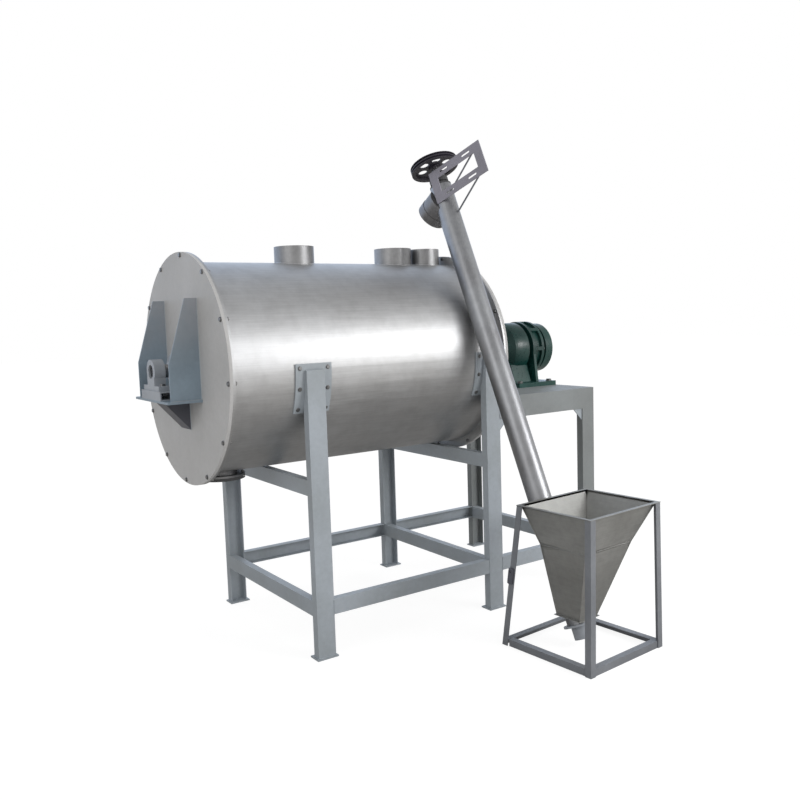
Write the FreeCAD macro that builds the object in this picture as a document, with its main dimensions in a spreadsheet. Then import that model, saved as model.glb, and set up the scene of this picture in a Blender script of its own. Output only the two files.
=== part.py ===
import FreeCAD, Part
import Sketcher
import math
import os
import re

from FreeCAD import Placement, Rotation, Vector

os.makedirs("parts", exist_ok=True)
doc = FreeCAD.newDocument("RibbonBlender")

# Driving sizes in millimetres and degrees. X runs along the drum, towards the drive,
# Z is up, and the origin lies on the floor in the middle of the four drum legs.
SIZES = {
    "axis_height": 1480,
    "drum_radius": 550,
    "drum_wall": 6,
    "drum_length": 1700,
    "end_plate_overhang": 50,
    "end_plate_thickness": 16,
    "rim_flange_thickness": 12,
    "seat_gap": 0.3,
    "running_gap": 0.05,
    "end_bolt_inset": 16,
    "end_bolt_count": 12,
    "end_bolt_turn": 4.5,
    "end_bolt_radius": 6,
    "end_bolt_hole_radius": 7,
    "front_neck_distance": 669,
    "middle_neck_distance": 370,
    "rear_neck_distance": 142,
    "large_neck_radius": 110,
    "rear_neck_radius": 95,
    "neck_wall": 4,
    "neck_rise": 90,
    "leg_web": 100,
    "leg_flange": 48,
    "leg_thickness": 6,
    "front_overhang": 460,
    "rear_overhang": 100,
    "drive_leg_distance": 680,
    "frame_clearance": 25,
    "leg_drop": 10,
    "foot_thickness": 8,
    "foot_length": 120,
    "foot_width": 80,
    "anchor_inset": 30,
    "anchor_hole_radius": 7,
    "rail_web": 80,
    "rail_flange": 43,
    "rail_thickness": 5,
    "lower_rail_bottom": 220,
    "upper_rail_drop": 640,
    "pad_width": 200,
    "pad_thickness": 8,
    "pad_drop": 224,
    "pad_rise": 23,
    "pad_bolt_inset": 22,
    "pad_bolt_radius": 5,
    "pad_bolt_clearance": 1,
    "pad_rim_gap": 3,
    "table_drop": 240,
    "table_plate_thickness": 8,
    "table_beam_web": 120,
    "table_beam_flange": 53,
    "table_beam_thickness": 6,
    "table_plate_gap": 30,
    "gusset_side": 70,
    "gusset_thickness": 6,
    "outlet_distance": 176,
    "outlet_radius": 84,
    "outlet_wall": 4,
    "gate_flange_radius": 125,
    "gate_drop": 14,
    "gate_flange_thickness": 10,
    "gate_blade_thickness": 5,
    "gate_blade_gap": 0.5,
    "gate_guide": 11,
    "gate_bolt_reach": 105,
    "gate_bolt_side": 38,
    "gate_bolt_radius": 5,
    "gate_bolt_clearance": 0.5,
    "gate_blade_tail": 60,
    "gate_grip_radius": 7,
    "gate_grip_length": 150,
    "wing_half_spacing": 240,
    "wing_thickness": 8,
    "wing_depth": 157,
    "wing_top_depth": 62,
    "wing_height": 500,
    "wing_straight_height": 180,
    "shelf_depth": 177,
    "shelf_thickness": 12,
    "shelf_drop": 140,
    "brace_half_width": 70,
    "brace_depth": 140,
    "brace_height": 155,
    "seat_height": 45,
    "seat_length": 290,
    "seat_width": 70,
    "seat_wall": 6,
    "bearing_distance": 142,
    "rear_bearing_distance": 130,
    "bearing_width": 60,
    "bearing_ring_radius": 62,
    "journal_recess": 12,
    "bearing_base_length": 230,
    "bearing_base_height": 26,
    "bearing_bolt_spacing": 180,
    "bearing_bolt_radius": 8,
    "bearing_hole_radius": 9,
    "journal_radius": 35,
    "shaft_radius": 45,
    "gland_flange_radius": 95,
    "gland_flange_thickness": 14,
    "gland_barrel_radius": 68,
    "gland_length": 62,
    "gland_bolt_circle_radius": 81,
    "arm_radius": 15,
    "arm_spacing": 250,
    "arm_end_room": 100,
    "agitator_turn": -60,
    "ribbon_pitch": 1000,
    "ribbon_thickness": 8,
    "ribbon_end_gap": 24,
    "outer_ribbon_gap": 9,
    "outer_ribbon_width": 60,
    "inner_ribbon_radius": 290,
    "inner_ribbon_width": 50,
    "coupling_radius": 66,
    "coupling_length": 140,
    "coupling_distance": 305,
    "coupling_flange_thickness": 18,
    "coupling_bolt_radius": 6,
    "coupling_bolt_clearance": 0.5,
    "coupling_bolt_count": 6,
    "reducer_distance": 402,
    "reducer_base_length": 322,
    "reducer_base_width": 510,
    "reducer_base_thickness": 28,
    "reducer_foot_inset_x": 34,
    "reducer_foot_inset_y": 32,
    "reducer_foot_bolt_radius": 10,
    "reducer_foot_hole_radius": 11,
    "casing_bolt_hole_radius": 5.5,
    "casing_bolt_reach": 120,
    "reducer_bell_radius": 172,
    "reducer_bell_inset": 14,
    "reducer_bell_length": 206,
    "pin_ring_length": 58,
    "pin_ring_radius": 160,
    "input_cover_length": 52,
    "adapter_length": 60,
    "adapter_radius": 162,
    "output_shaft_radius": 40,
    "input_shaft_radius": 25,
    "motor_bore_radius": 14,
    "motor_bolt_circle_radius": 132,
    "feeder_aside": 12,
    "feeder_distance": 67.8653,
    "feeder_turn": 4,
    "tube_slope": 67.2,
    "tail_height": 26,
    "tube_radius": 63.5,
    "tube_wall": 3,
    "tube_start": 100,
    "tube_rise": 1152,
    "tube_window_start": 200,
    "tube_window_length": 190,
    "screw_radius": 57,
    "screw_shaft_radius": 20,
    "screw_pitch": 120,
    "screw_thickness": 4,
    "spout_radius": 88,
    "spout_wall": 3,
    "spout_distance": 77,
    "spout_start": 12,
    "spout_length": 142,
    "spout_fall": 36,
    "spout_socket_length": 50,
    "spout_socket_wall": 4,
    "pulley_radius": 140,
    "pulley_width": 34,
    "pulley_distance": 120,
    "pulley_hole_radius": 26,
    "motor_frame_drop": 112,
    "motor_frame_height": 190,
    "motor_frame_width": 375,
    "motor_frame_bar": 52,
    "motor_frame_thickness": 6,
    "motor_frame_turn": 79,
    "motor_frame_overhang": 10,
    "motor_slot_length": 60,
    "motor_slot_width": 12,
    "motor_slot_inset": 22,
    "strut_drop": 105,
    "strut_radius": 5,
    "hopper_length": 516,
    "hopper_width": 436,
    "hopper_shift_x": 27,
    "hopper_shift_y": -4,
    "hopper_top": 748,
    "hopper_waist": 554,
    "hopper_waist_length": 362,
    "hopper_waist_shift": -9,
    "hopper_waist_back": 126,
    "hopper_bottom": 158,
    "hopper_foot_length": 136,
    "hopper_foot_gap": 6,
    "hopper_wall": 2,
    "hopper_lip": 18,
    "hopper_lip_thickness": 3,
    "hopper_foot_lip": 10,
    "stand_length": 571,
    "stand_width": 577,
    "stand_shift_x": 6,
    "stand_shift_y": 31,
    "stand_bar": 36,
    "stand_wall": 4,
}

# Places that follow from the driving sizes and the distances between the pieces.
PLACES = {
    "leg_spread": "drum_length - front_overhang - rear_overhang",
    "front_face": "-leg_spread / 2 - front_overhang",
    "rear_face": "front_face + drum_length",
    "end_plate_radius": "drum_radius + end_plate_overhang",
    "end_bolt_circle_radius": "end_plate_radius - end_bolt_inset",
    "front_neck_place": "front_face + front_neck_distance",
    "middle_neck_place": "rear_face - middle_neck_distance",
    "rear_neck_place": "rear_face - rear_neck_distance",
    "neck_top": "axis_height + drum_radius + neck_rise",
    "drive_leg_place": "rear_face + drive_leg_distance",
    "frame_half_width": "drum_radius + frame_clearance",
    "leg_top": "axis_height - leg_drop",
    "upper_rail_bottom": "axis_height - upper_rail_drop",
    "pad_bottom": "axis_height - pad_drop",
    "pad_top": "axis_height + pad_rise",
    "table_top": "axis_height - table_drop",
    "table_plate_start": "rear_face + table_plate_gap",
    "outlet_place": "front_face + outlet_distance",
    "gate_top": "axis_height - drum_radius - gate_drop",
    "shelf_top": "axis_height - shelf_drop",
    "bearing_place": "front_face - bearing_distance",
    "rear_bearing_place": "rear_face + rear_bearing_distance",
    "arm_count": "floor((drum_length - arm_end_room) / arm_spacing) + 1",
    "coupling_place": "rear_face + coupling_distance",
    "reducer_base_start": "rear_face + reducer_distance",
    "reducer_bell_start": "reducer_base_start + reducer_bell_inset",
    "reducer_bell_end": "reducer_bell_start + reducer_bell_length",
    "feeder_place": "rear_neck_place + feeder_aside",
    "feeder_offset": "end_plate_radius + axis_height / tan(tube_slope) + feeder_distance",
    "tube_end": "axis_height + tube_rise",
    "spout_station": "tube_end - spout_distance",
    "pulley_station": "tube_end + pulley_distance",
    "motor_frame_start": "tube_end - motor_frame_drop",
}

sheet = doc.addObject("Spreadsheet::Sheet", "Sizes")
ALIASES = list(SIZES) + list(PLACES)
for row, alias in enumerate(ALIASES, start=1):
    sheet.set(f"A{row}", alias)
    sheet.setAlias(f"B{row}", alias)
for row, value in enumerate(SIZES.values(), start=1):
    sheet.set(f"B{row}", str(value))
for row, rule in enumerate(PLACES.values(), start=len(SIZES) + 1):
    sheet.set(f"B{row}", f"={rule}")
doc.recompute()

X_AXIS = Vector(1, 0, 0)
Y_AXIS = Vector(0, 1, 0)
Z_AXIS = Vector(0, 0, 1)
ALONG_X = Rotation(Y_AXIS, 90)
ALONG_Y = Rotation(X_AXIS, -90)
UPRIGHT = Rotation()
nodes = []


def size(alias):
    return float(getattr(sheet, alias))


def formula(text):
    """Puts the sheet's name before each alias of an expression."""
    return re.sub(r"[a-z][a-z_]*", lambda word: f"Sizes.{word[0]}" if word[0] in ALIASES else word[0], str(text))


def bind(target, bindings):
    for place, text in bindings.items():
        target.setExpression(place, formula(text))


def put(target, base, rotation=UPRIGHT):
    target.Placement = Placement(Vector(), rotation)
    bind(target, {f"Placement.Base.{axis}": text for axis, text in zip("xyz", base)})


def keep(target, name):
    target.Label = name
    nodes.append(target)
    return target


def block(name, sides, corner, rotation=UPRIGHT):
    box = doc.addObject("Part::Box", name)
    bind(box, dict(zip(("Length", "Width", "Height"), sides)))
    put(box, corner, rotation)
    return box


def rod(name, radius, length, start, rotation=UPRIGHT):
    cylinder = doc.addObject("Part::Cylinder", name)
    bind(cylinder, {"Radius": radius, "Height": length})
    put(cylinder, start, rotation)
    return cylinder


def join(name, members):
    fusion = doc.addObject("Part::MultiFuse", name)
    fusion.Shapes = members
    return fusion


def group(name, members):
    compound = doc.addObject("Part::Compound", name)
    compound.Links = members
    return compound


def cut(name, base, tool):
    difference = doc.addObject("Part::Cut", name)
    difference.Base = base
    difference.Tool = tool
    return difference


def solid_feature(name, shape, placement=None):
    """Keeps a shape made by Part's own functions as a document object."""
    feature = doc.addObject("Part::Feature", name)
    feature.Shape = shape
    if placement is not None:
        feature.Placement = placement
    return feature


def new_body(name):
    return doc.addObject("PartDesign::Body", name)


def new_sketch(body, role, name):
    sketch = body.newObject("Sketcher::SketchObject", name)
    plane = next(feature for feature in body.Origin.OriginFeatures if feature.Role == role)
    sketch.AttachmentSupport = [(plane, "")]
    sketch.MapMode = "FlatFace"
    return sketch


def pin_point(sketch, edge, end, x_text, y_text, label):
    """Ties one point of a sketch to the sheet by its two distances from the origin."""
    point = sketch.getPoint(edge, end)
    for kind, text, guess in (("DistanceX", x_text, point.x), ("DistanceY", y_text, point.y)):
        constraint = f"{label}_{kind[-1].lower()}"
        index = sketch.addConstraint(Sketcher.Constraint(kind, -1, 1, edge, end, guess))
        sketch.renameConstraint(index, constraint)
        bind(sketch, {f"Constraints.{constraint}": text})


def draw_outline(sketch, vertices):
    """Draws a closed outline of straight edges, with every corner tied to the sheet."""
    count = len(vertices)
    turn = 2 * math.pi / count
    start = [Vector(20 * math.cos(turn * i), 20 * math.sin(turn * i), 0) for i in range(count)]
    first = sketch.GeometryCount
    for i in range(count):
        sketch.addGeometry(Part.LineSegment(start[i], start[(i + 1) % count]), False)
    for i in range(count):
        sketch.addConstraint(Sketcher.Constraint("Coincident", first + i, 2, first + (i + 1) % count, 1))
    for i, (x_text, y_text) in enumerate(vertices):
        pin_point(sketch, first + i, 1, x_text, y_text, f"corner_{first + i}")


def draw_circle(sketch, radius, x_text="0", y_text="0"):
    edge = sketch.addGeometry(Part.Circle(Vector(10, 10, 0), Z_AXIS, 5), False)
    index = sketch.addConstraint(Sketcher.Constraint("Radius", edge, 5))
    sketch.renameConstraint(index, f"radius_{edge}")
    bind(sketch, {f"Constraints.radius_{edge}": radius})
    pin_point(sketch, edge, 3, x_text, y_text, f"centre_{edge}")


def shift_sketch(sketch, distance):
    bind(sketch, {"AttachmentOffset.Base.z": distance})


def pad(body, sketch, length, midplane=False):
    feature = body.newObject("PartDesign::Pad", "Pad")
    feature.Profile = sketch
    feature.Midplane = midplane
    bind(feature, {"Length": length})
    return feature


def pocket_through(body, sketch):
    feature = body.newObject("PartDesign::Pocket", "Pocket")
    feature.Profile = sketch
    feature.Type = 1
    feature.Midplane = True
    return feature


def pocket_one_way(body, sketch, forward):
    """Cuts everything on one side of the sketch: along its normal, or against it."""
    feature = body.newObject("PartDesign::Pocket", "Pocket")
    feature.Profile = sketch
    feature.Reversed = forward
    bind(feature, {"Length": "2 * axis_height"})
    return feature


def revolve(body, sketch):
    feature = body.newObject("PartDesign::Revolution", "Revolution")
    feature.Profile = sketch
    feature.ReferenceAxis = (sketch, ["H_Axis"])
    feature.Angle = 360
    return feature


def ring_of(body, feature, sketch, count):
    """Repeats a feature evenly round its sketch's normal."""
    pattern = body.newObject("PartDesign::PolarPattern", "PolarPattern")
    pattern.Originals = [feature]
    pattern.Axis = (sketch, ["N_Axis"])
    pattern.Angle = 360
    bind(pattern, {"Occurrences": count})
    body.Tip = pattern
    return pattern


def hexagon(radius, height):
    corners = [Vector(radius * math.cos(math.radians(60 * i)), radius * math.sin(math.radians(60 * i)), 0) for i in range(7)]
    return Part.Face(Part.makePolygon(corners)).extrude(Vector(0, 0, height))


def bolt(shank_radius, grip, nut=True):
    """A bolt along +Z whose head rests on Z = 0 and whose grip ends at the nut."""
    head = 1.7 * shank_radius
    length = grip + (2 * shank_radius if nut else 0)
    shape = Part.makeCylinder(shank_radius, length).fuse(hexagon(head, -1.2 * shank_radius))
    if nut:
        collar = hexagon(head, 1.5 * shank_radius)
        collar.translate(Vector(0, 0, grip))
        shape = shape.fuse(collar)
    return shape


def placed(shape, base, rotation=UPRIGHT):
    copy = shape.copy()
    copy.Placement = Placement(base, rotation)
    return copy


def pointing(direction):
    return Rotation(Z_AXIS, direction)


def round_points(centre, radius, count, first=0):
    """Points evenly spaced on a circle whose axis is X."""
    step = 2 * math.pi / count
    return [
        centre + Vector(0, radius * math.cos(first + step * i), radius * math.sin(first + step * i))
        for i in range(count)
    ]


def make_channel(name, web, flange, thickness, length, base, rotation):
    """A channel: web centred on X with its back at Y = 0, flanges towards +Y, run along Z."""
    body = new_body(name + "_bar")
    sketch = new_sketch(body, "XY_Plane", name + "_section")
    half = f"{web} / 2"
    inner = f"{web} / 2 - {thickness}"
    draw_outline(
        sketch,
        [
            (f"-({half})", "0"),
            (half, "0"),
            (half, flange),
            (inner, flange),
            (inner, thickness),
            (f"-({inner})", thickness),
            (f"-({inner})", flange),
            (f"-({half})", flange),
        ],
    )
    pad(body, sketch, length)
    put(body, base, rotation)
    return body


# The frame: channel legs, rails and the drive table.

FACING_FAR = Rotation(Z_AXIS, 180)
RAIL_NEAR = Rotation(Y_AXIS, 90)
RAIL_FAR = Rotation(X_AXIS, 180).multiply(RAIL_NEAR)
RAIL_ACROSS = Rotation(Vector(0, 0, 1), Vector(1, 0, 0), Vector(0, 1, 0), "ZXY")
SIDES = (("near", -1, UPRIGHT, RAIL_NEAR), ("far", 1, FACING_FAR, RAIL_FAR))
REDUCER_FOOT_COLUMNS = (
    "reducer_base_start + reducer_foot_inset_x",
    "reducer_base_start + reducer_base_length - reducer_foot_inset_x",
)
REDUCER_FOOT_ROWS = (
    "reducer_foot_inset_y - reducer_base_width / 2",
    "reducer_base_width / 2 - reducer_foot_inset_y",
)


def make_legs():
    places = {
        "front": ("-leg_spread / 2", "leg_top"),
        "middle": ("leg_spread / 2", "leg_top"),
        "drive": ("drive_leg_place", "table_top - table_plate_thickness - table_beam_web"),
    }
    drive_legs = []
    for row_name, (place, top) in places.items():
        for side, sign, facing, _ in SIDES:
            name = f"{row_name}_{side}_leg"
            bar = make_channel(
                name,
                "leg_web",
                "leg_flange",
                "leg_thickness",
                f"{top} - foot_thickness",
                (place, f"{sign} * frame_half_width", "foot_thickness"),
                facing,
            )
            if row_name == "drive":
                drive_legs.append(bar)
                continue
            clearance = "drum_radius + pad_thickness + 2 * seat_gap"
            curve = rod(name + "_cope", clearance, "2 * leg_web", (f"{place} - leg_web", "0", "axis_height"), ALONG_X)
            keep(cut(name, bar, curve), name)
    keep(group("drive_legs", drive_legs), "drive_legs")


def make_foot_plates():
    plates = []
    for place in ("-leg_spread / 2", "leg_spread / 2", "drive_leg_place"):
        for side, sign, _, _ in SIDES:
            outer = "frame_half_width + 10"
            corner_y = f"-({outer})" if sign < 0 else f"{outer} - foot_width"
            plate = block(
                f"foot_{side}",
                ("foot_length", "foot_width", "foot_thickness"),
                (f"{place} - foot_length / 2", corner_y, "0"),
            )
            hole = rod(
                f"anchor_{side}",
                "anchor_hole_radius",
                "3 * foot_thickness",
                (place, f"{sign} * (frame_half_width - anchor_inset)", "-foot_thickness"),
            )
            plates.append(cut(f"foot_plate_{side}", plate, hole))
    keep(group("foot_plates", plates), "foot_plates")


def make_rails():
    leg_half = "leg_web / 2"
    bays = {
        "front": (f"-leg_spread / 2 + {leg_half}", f"leg_spread / 2 - {leg_half}"),
        "drive": (f"leg_spread / 2 + {leg_half}", f"drive_leg_place - {leg_half}"),
    }
    middle_height = "lower_rail_bottom + rail_web / 2"
    side_rails = []
    for side, sign, _, facing in SIDES:
        for bay, (start, end) in bays.items():
            side_rails.append(
                make_channel(
                    f"{side}_{bay}_rail",
                    "rail_web",
                    "rail_flange",
                    "rail_thickness",
                    f"{end} - ({start})",
                    (start, f"{sign} * frame_half_width", middle_height),
                    facing,
                )
            )
    keep(group("side_rails", side_rails), "side_rails")
    inside = "frame_half_width - leg_flange - seat_gap"
    across = {
        "lower_cross_rail": ("lower_rail_bottom", ("-leg_spread / 2", "leg_spread / 2", "drive_leg_place")),
        "upper_cross_rail": ("upper_rail_bottom", ("-leg_spread / 2", "leg_spread / 2")),
    }
    cross_rails = []
    for name, (bottom, places) in across.items():
        for index, place in enumerate(places):
            cross_rails.append(
                make_channel(
                    f"{name}_{index}",
                    "rail_web",
                    "rail_flange",
                    "rail_thickness",
                    f"2 * ({inside})",
                    (f"{place} - {leg_half}", f"-({inside})", f"{bottom} + rail_web / 2"),
                    RAIL_ACROSS,
                )
            )
    keep(group("cross_rails", cross_rails), "cross_rails")


def make_drive_table():
    middle_height = "table_top - table_plate_thickness - table_beam_web / 2"
    start = "leg_spread / 2 + leg_web / 2"
    end = "drive_leg_place + leg_web / 2"
    side_beams = []
    for side, sign, _, facing in SIDES:
        beam = make_channel(
            f"table_{side}",
            "table_beam_web",
            "table_beam_flange",
            "table_beam_thickness",
            f"{end} - ({start})",
            (start, f"{sign} * frame_half_width", middle_height),
            facing,
        )
        curve = rod(f"table_{side}_cope", "end_plate_radius + 6", "drive_leg_place", ("0", "0", "axis_height"), ALONG_X)
        side_beams.append(cut(f"{side}_table_beam", beam, curve))
    keep(group("table_side_beams", side_beams), "table_side_beams")
    inside = "frame_half_width - table_beam_flange - seat_gap"
    beams = [
        make_channel(
            "table_end",
            "table_beam_web",
            "table_beam_flange",
            "table_beam_thickness",
            f"2 * ({inside})",
            (end, f"{inside}", middle_height),
            Rotation(Z_AXIS, 180).multiply(RAIL_ACROSS),
        ),
    ]
    for name, place in (("table_bearing", "rear_bearing_place"), ("table_reducer", REDUCER_FOOT_COLUMNS[0])):
        beams.append(
            make_channel(
                name,
                "table_beam_web",
                "table_beam_flange",
                "table_beam_thickness",
                f"2 * ({inside})",
                (f"{place} - table_beam_flange / 2", f"-({inside})", middle_height),
                RAIL_ACROSS,
            )
        )
    holes = [
        rod(f"table_hole_{x_index}_{y_index}", "reducer_foot_hole_radius", "table_beam_web / 2", (x, y, "table_top - table_beam_web / 4"))
        for x_index, x in enumerate(REDUCER_FOOT_COLUMNS)
        for y_index, y in enumerate(REDUCER_FOOT_ROWS)
    ]
    drilled = group("table_holes", holes)
    keep(cut("table_beams_drilled", group("table_beam_blanks", beams), drilled), "table_cross_beams")
    plate = block(
        "table_plate_blank",
        (f"{end} - table_plate_start", "2 * frame_half_width", "table_plate_thickness"),
        ("table_plate_start", "-frame_half_width", "table_top - table_plate_thickness"),
    )
    keep(cut("table_plate_drilled", plate, drilled), "drive_table_plate")


def make_gussets():
    """Small corner plates under the table beams, one in each corner with a leg."""
    side = size("gusset_side")
    thickness = size("gusset_thickness")
    top = size("table_top") - size("table_plate_thickness") - size("table_beam_web")
    web_face = size("frame_half_width") - size("leg_thickness") - thickness
    corner = Part.makePolygon([Vector(), Vector(side, 0, 0), Vector(0, 0, -side), Vector()])
    plate = Part.Face(corner).extrude(Vector(0, thickness, 0))
    mirrored = plate.mirror(Vector(), X_AXIS)
    middle_face = (size("leg_spread") + size("leg_web")) / 2
    drive_face = size("drive_leg_place") - size("leg_web") / 2
    shapes = []
    for y in (-web_face - thickness, web_face):
        shapes.append(placed(plate, Vector(middle_face, y, top)))
        shapes.append(placed(mirrored, Vector(drive_face, y, top)))
    keep(solid_feature("frame_gussets", Part.Compound(shapes)), "frame_gussets")


# The drum: shell with rim flanges, end plates, inlet necks, saddle pads and their bolts.

FRONT_RIM = "front_face + end_plate_thickness"
REAR_RIM = "front_face + drum_length - end_plate_thickness"
END_BOLT_PLACE = ("end_bolt_circle_radius * cos(end_bolt_turn)", "end_bolt_circle_radius * sin(end_bolt_turn)")


PAD_SPANS = {
    "front": ("-leg_spread / 2 - pad_width / 2", "-leg_spread / 2 + pad_width / 2"),
    "middle": ("leg_spread / 2 - pad_width / 2", f"{REAR_RIM} - rim_flange_thickness - pad_rim_gap"),
}


def saddle_bolt_places():
    """Each saddle bolt's point on the pad's outside and its inward direction."""
    inset = size("pad_bolt_inset")
    rows = (size("pad_bottom") + inset, (size("pad_bottom") + size("pad_top")) / 2, size("pad_top") - inset)
    radius = size("drum_radius")
    column = size("pad_width") / 2 - inset
    places = []
    for place, columns in ((-size("leg_spread") / 2, (-column, column)), (size("leg_spread") / 2, (-column,))):
        for sign in (-1, 1):
            for height in rows:
                rise = (height - size("axis_height")) / radius
                outward = Vector(0, sign * math.sqrt(1 - rise * rise), rise)
                face = outward * (radius + size("pad_thickness") + size("seat_gap"))
                for step in columns:
                    places.append((Vector(place + step, 0, size("axis_height")) + face, outward * -1))
    return places


def saddle_bolt_holes():
    reach = 2 * (size("pad_thickness") + size("drum_wall"))
    radius = size("pad_bolt_radius") + size("pad_bolt_clearance")
    holes = [
        Part.makeCylinder(radius, 2 * reach, point - inward * reach, inward)
        for point, inward in saddle_bolt_places()
    ]
    return solid_feature("saddle_bolt_holes", Part.Compound(holes))


def make_drum_shell():
    body = new_body("drum_body")
    profile = new_sketch(body, "XZ_Plane", "drum_profile")
    front = FRONT_RIM
    rear = REAR_RIM
    inside = "drum_radius - drum_wall"
    draw_outline(
        profile,
        [
            (front, inside),
            (front, "end_plate_radius"),
            (f"{front} + rim_flange_thickness", "end_plate_radius"),
            (f"{front} + rim_flange_thickness", "drum_radius"),
            (f"{rear} - rim_flange_thickness", "drum_radius"),
            (f"{rear} - rim_flange_thickness", "end_plate_radius"),
            (rear, "end_plate_radius"),
            (rear, inside),
        ],
    )
    revolve(body, profile)
    upper = new_sketch(body, "XY_Plane", "inlet_openings")
    draw_circle(upper, "large_neck_radius - neck_wall", "front_neck_place")
    draw_circle(upper, "large_neck_radius - neck_wall", "middle_neck_place")
    draw_circle(upper, "rear_neck_radius - neck_wall", "rear_neck_place")
    pocket_one_way(body, upper, True)
    lower = new_sketch(body, "XY_Plane", "outlet_opening")
    draw_circle(lower, "outlet_radius - outlet_wall", "outlet_place")
    pocket_one_way(body, lower, False)
    rim = new_sketch(body, "YZ_Plane", "rim_bolt_hole")
    draw_circle(rim, "end_bolt_hole_radius", *END_BOLT_PLACE)
    hole = pocket_through(body, rim)
    ring_of(body, hole, rim, "end_bolt_count")
    put(body, ("0", "0", "axis_height"))
    keep(cut("drum_shell", body, saddle_bolt_holes()), "drum_shell")


def make_end_plate(name, start):
    body = new_body(name)
    disc = new_sketch(body, "YZ_Plane", name + "_outline")
    draw_circle(disc, "end_plate_radius")
    draw_circle(disc, "shaft_radius + 12")
    pad(body, disc, "end_plate_thickness")
    rim = new_sketch(body, "YZ_Plane", name + "_bolt_hole")
    draw_circle(rim, "end_bolt_hole_radius", *END_BOLT_PLACE)
    hole = pocket_through(body, rim)
    ring_of(body, hole, rim, "end_bolt_count")
    put(body, (start, "0", "axis_height"))
    keep(body, name)


def make_end_plate_bolts():
    grip = size("end_plate_thickness") + size("rim_flange_thickness")
    one = bolt(size("end_bolt_radius"), grip)
    count = int(size("end_bolt_count"))
    radius = size("end_bolt_circle_radius")
    front = Vector(size("front_face"), 0, size("axis_height"))
    rear = front + Vector(size("drum_length"), 0, 0)
    first = math.radians(size("end_bolt_turn"))
    shapes = [placed(one, point, pointing(X_AXIS)) for point in round_points(front, radius, count, first)]
    shapes += [placed(one, point, pointing(X_AXIS * -1)) for point in round_points(rear, radius, count, first)]
    keep(solid_feature("end_plate_bolts", Part.Compound(shapes)), "end_plate_bolts")


def make_neck(name, radius, place):
    """A pipe stub with its foot cut to the curve of the drum."""
    pipe = cut(
        name + "_pipe",
        rod(name + "_outside", radius, "neck_top - axis_height", (place, "0", "axis_height")),
        rod(name + "_inside", f"{radius} - neck_wall", "neck_top - axis_height", (place, "0", "axis_height")),
    )
    curve = rod(
        name + "_saddle", "drum_radius + seat_gap", f"4 * {radius}", (f"{place} - 2 * {radius}", "0", "axis_height"), ALONG_X
    )
    keep(cut(name, pipe, curve), name)


def make_saddle_pads():
    strips = []
    for row_name, (first, last) in PAD_SPANS.items():
        start = (first, "0", "axis_height")
        length = f"{last} - ({first})"
        outer = rod(f"pad_outside_{row_name}", "drum_radius + seat_gap + pad_thickness", length, start, ALONG_X)
        inner = rod(f"pad_inside_{row_name}", "drum_radius + seat_gap", length, start, ALONG_X)
        band = block(
            f"pad_band_{row_name}",
            (length, "4 * drum_radius", "pad_top - pad_bottom"),
            (first, "-2 * drum_radius", "pad_bottom"),
        )
        strip = doc.addObject("Part::Common", f"pad_pair_{row_name}")
        strip.Base = cut(f"pad_ring_{row_name}", outer, inner)
        strip.Tool = band
        strips.append(strip)
    pads = cut("saddle_pads", group("saddle_pad_blanks", strips), doc.getObject("saddle_bolt_holes"))
    keep(pads, "saddle_pads")
    one = bolt(size("pad_bolt_radius"), size("pad_thickness") + size("drum_wall") + size("seat_gap"), nut=False)
    shapes = [placed(one, point, pointing(inward)) for point, inward in saddle_bolt_places()]
    keep(solid_feature("saddle_bolts", Part.Compound(shapes)), "saddle_bolts")


# The discharge: a flanged neck and a slide gate under the front end of the drum.

GATE_BOLTS = [(x, y) for x in (-1, 1) for y in (-1, 1)]
LOWER_FLANGE_TOP = "gate_top - gate_flange_thickness - gate_blade_thickness - 2 * gate_blade_gap"


def gate_bolt_holes(name):
    holes = []
    for index, (x, y) in enumerate(GATE_BOLTS):
        start = (f"outlet_place + {x} * gate_bolt_reach", f"{y} * gate_bolt_side", "gate_top - 6 * gate_flange_thickness")
        holes.append(rod(f"{name}_{index}", "gate_bolt_radius + gate_bolt_clearance", "10 * gate_flange_thickness", start))
    return group(name, holes)


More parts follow.
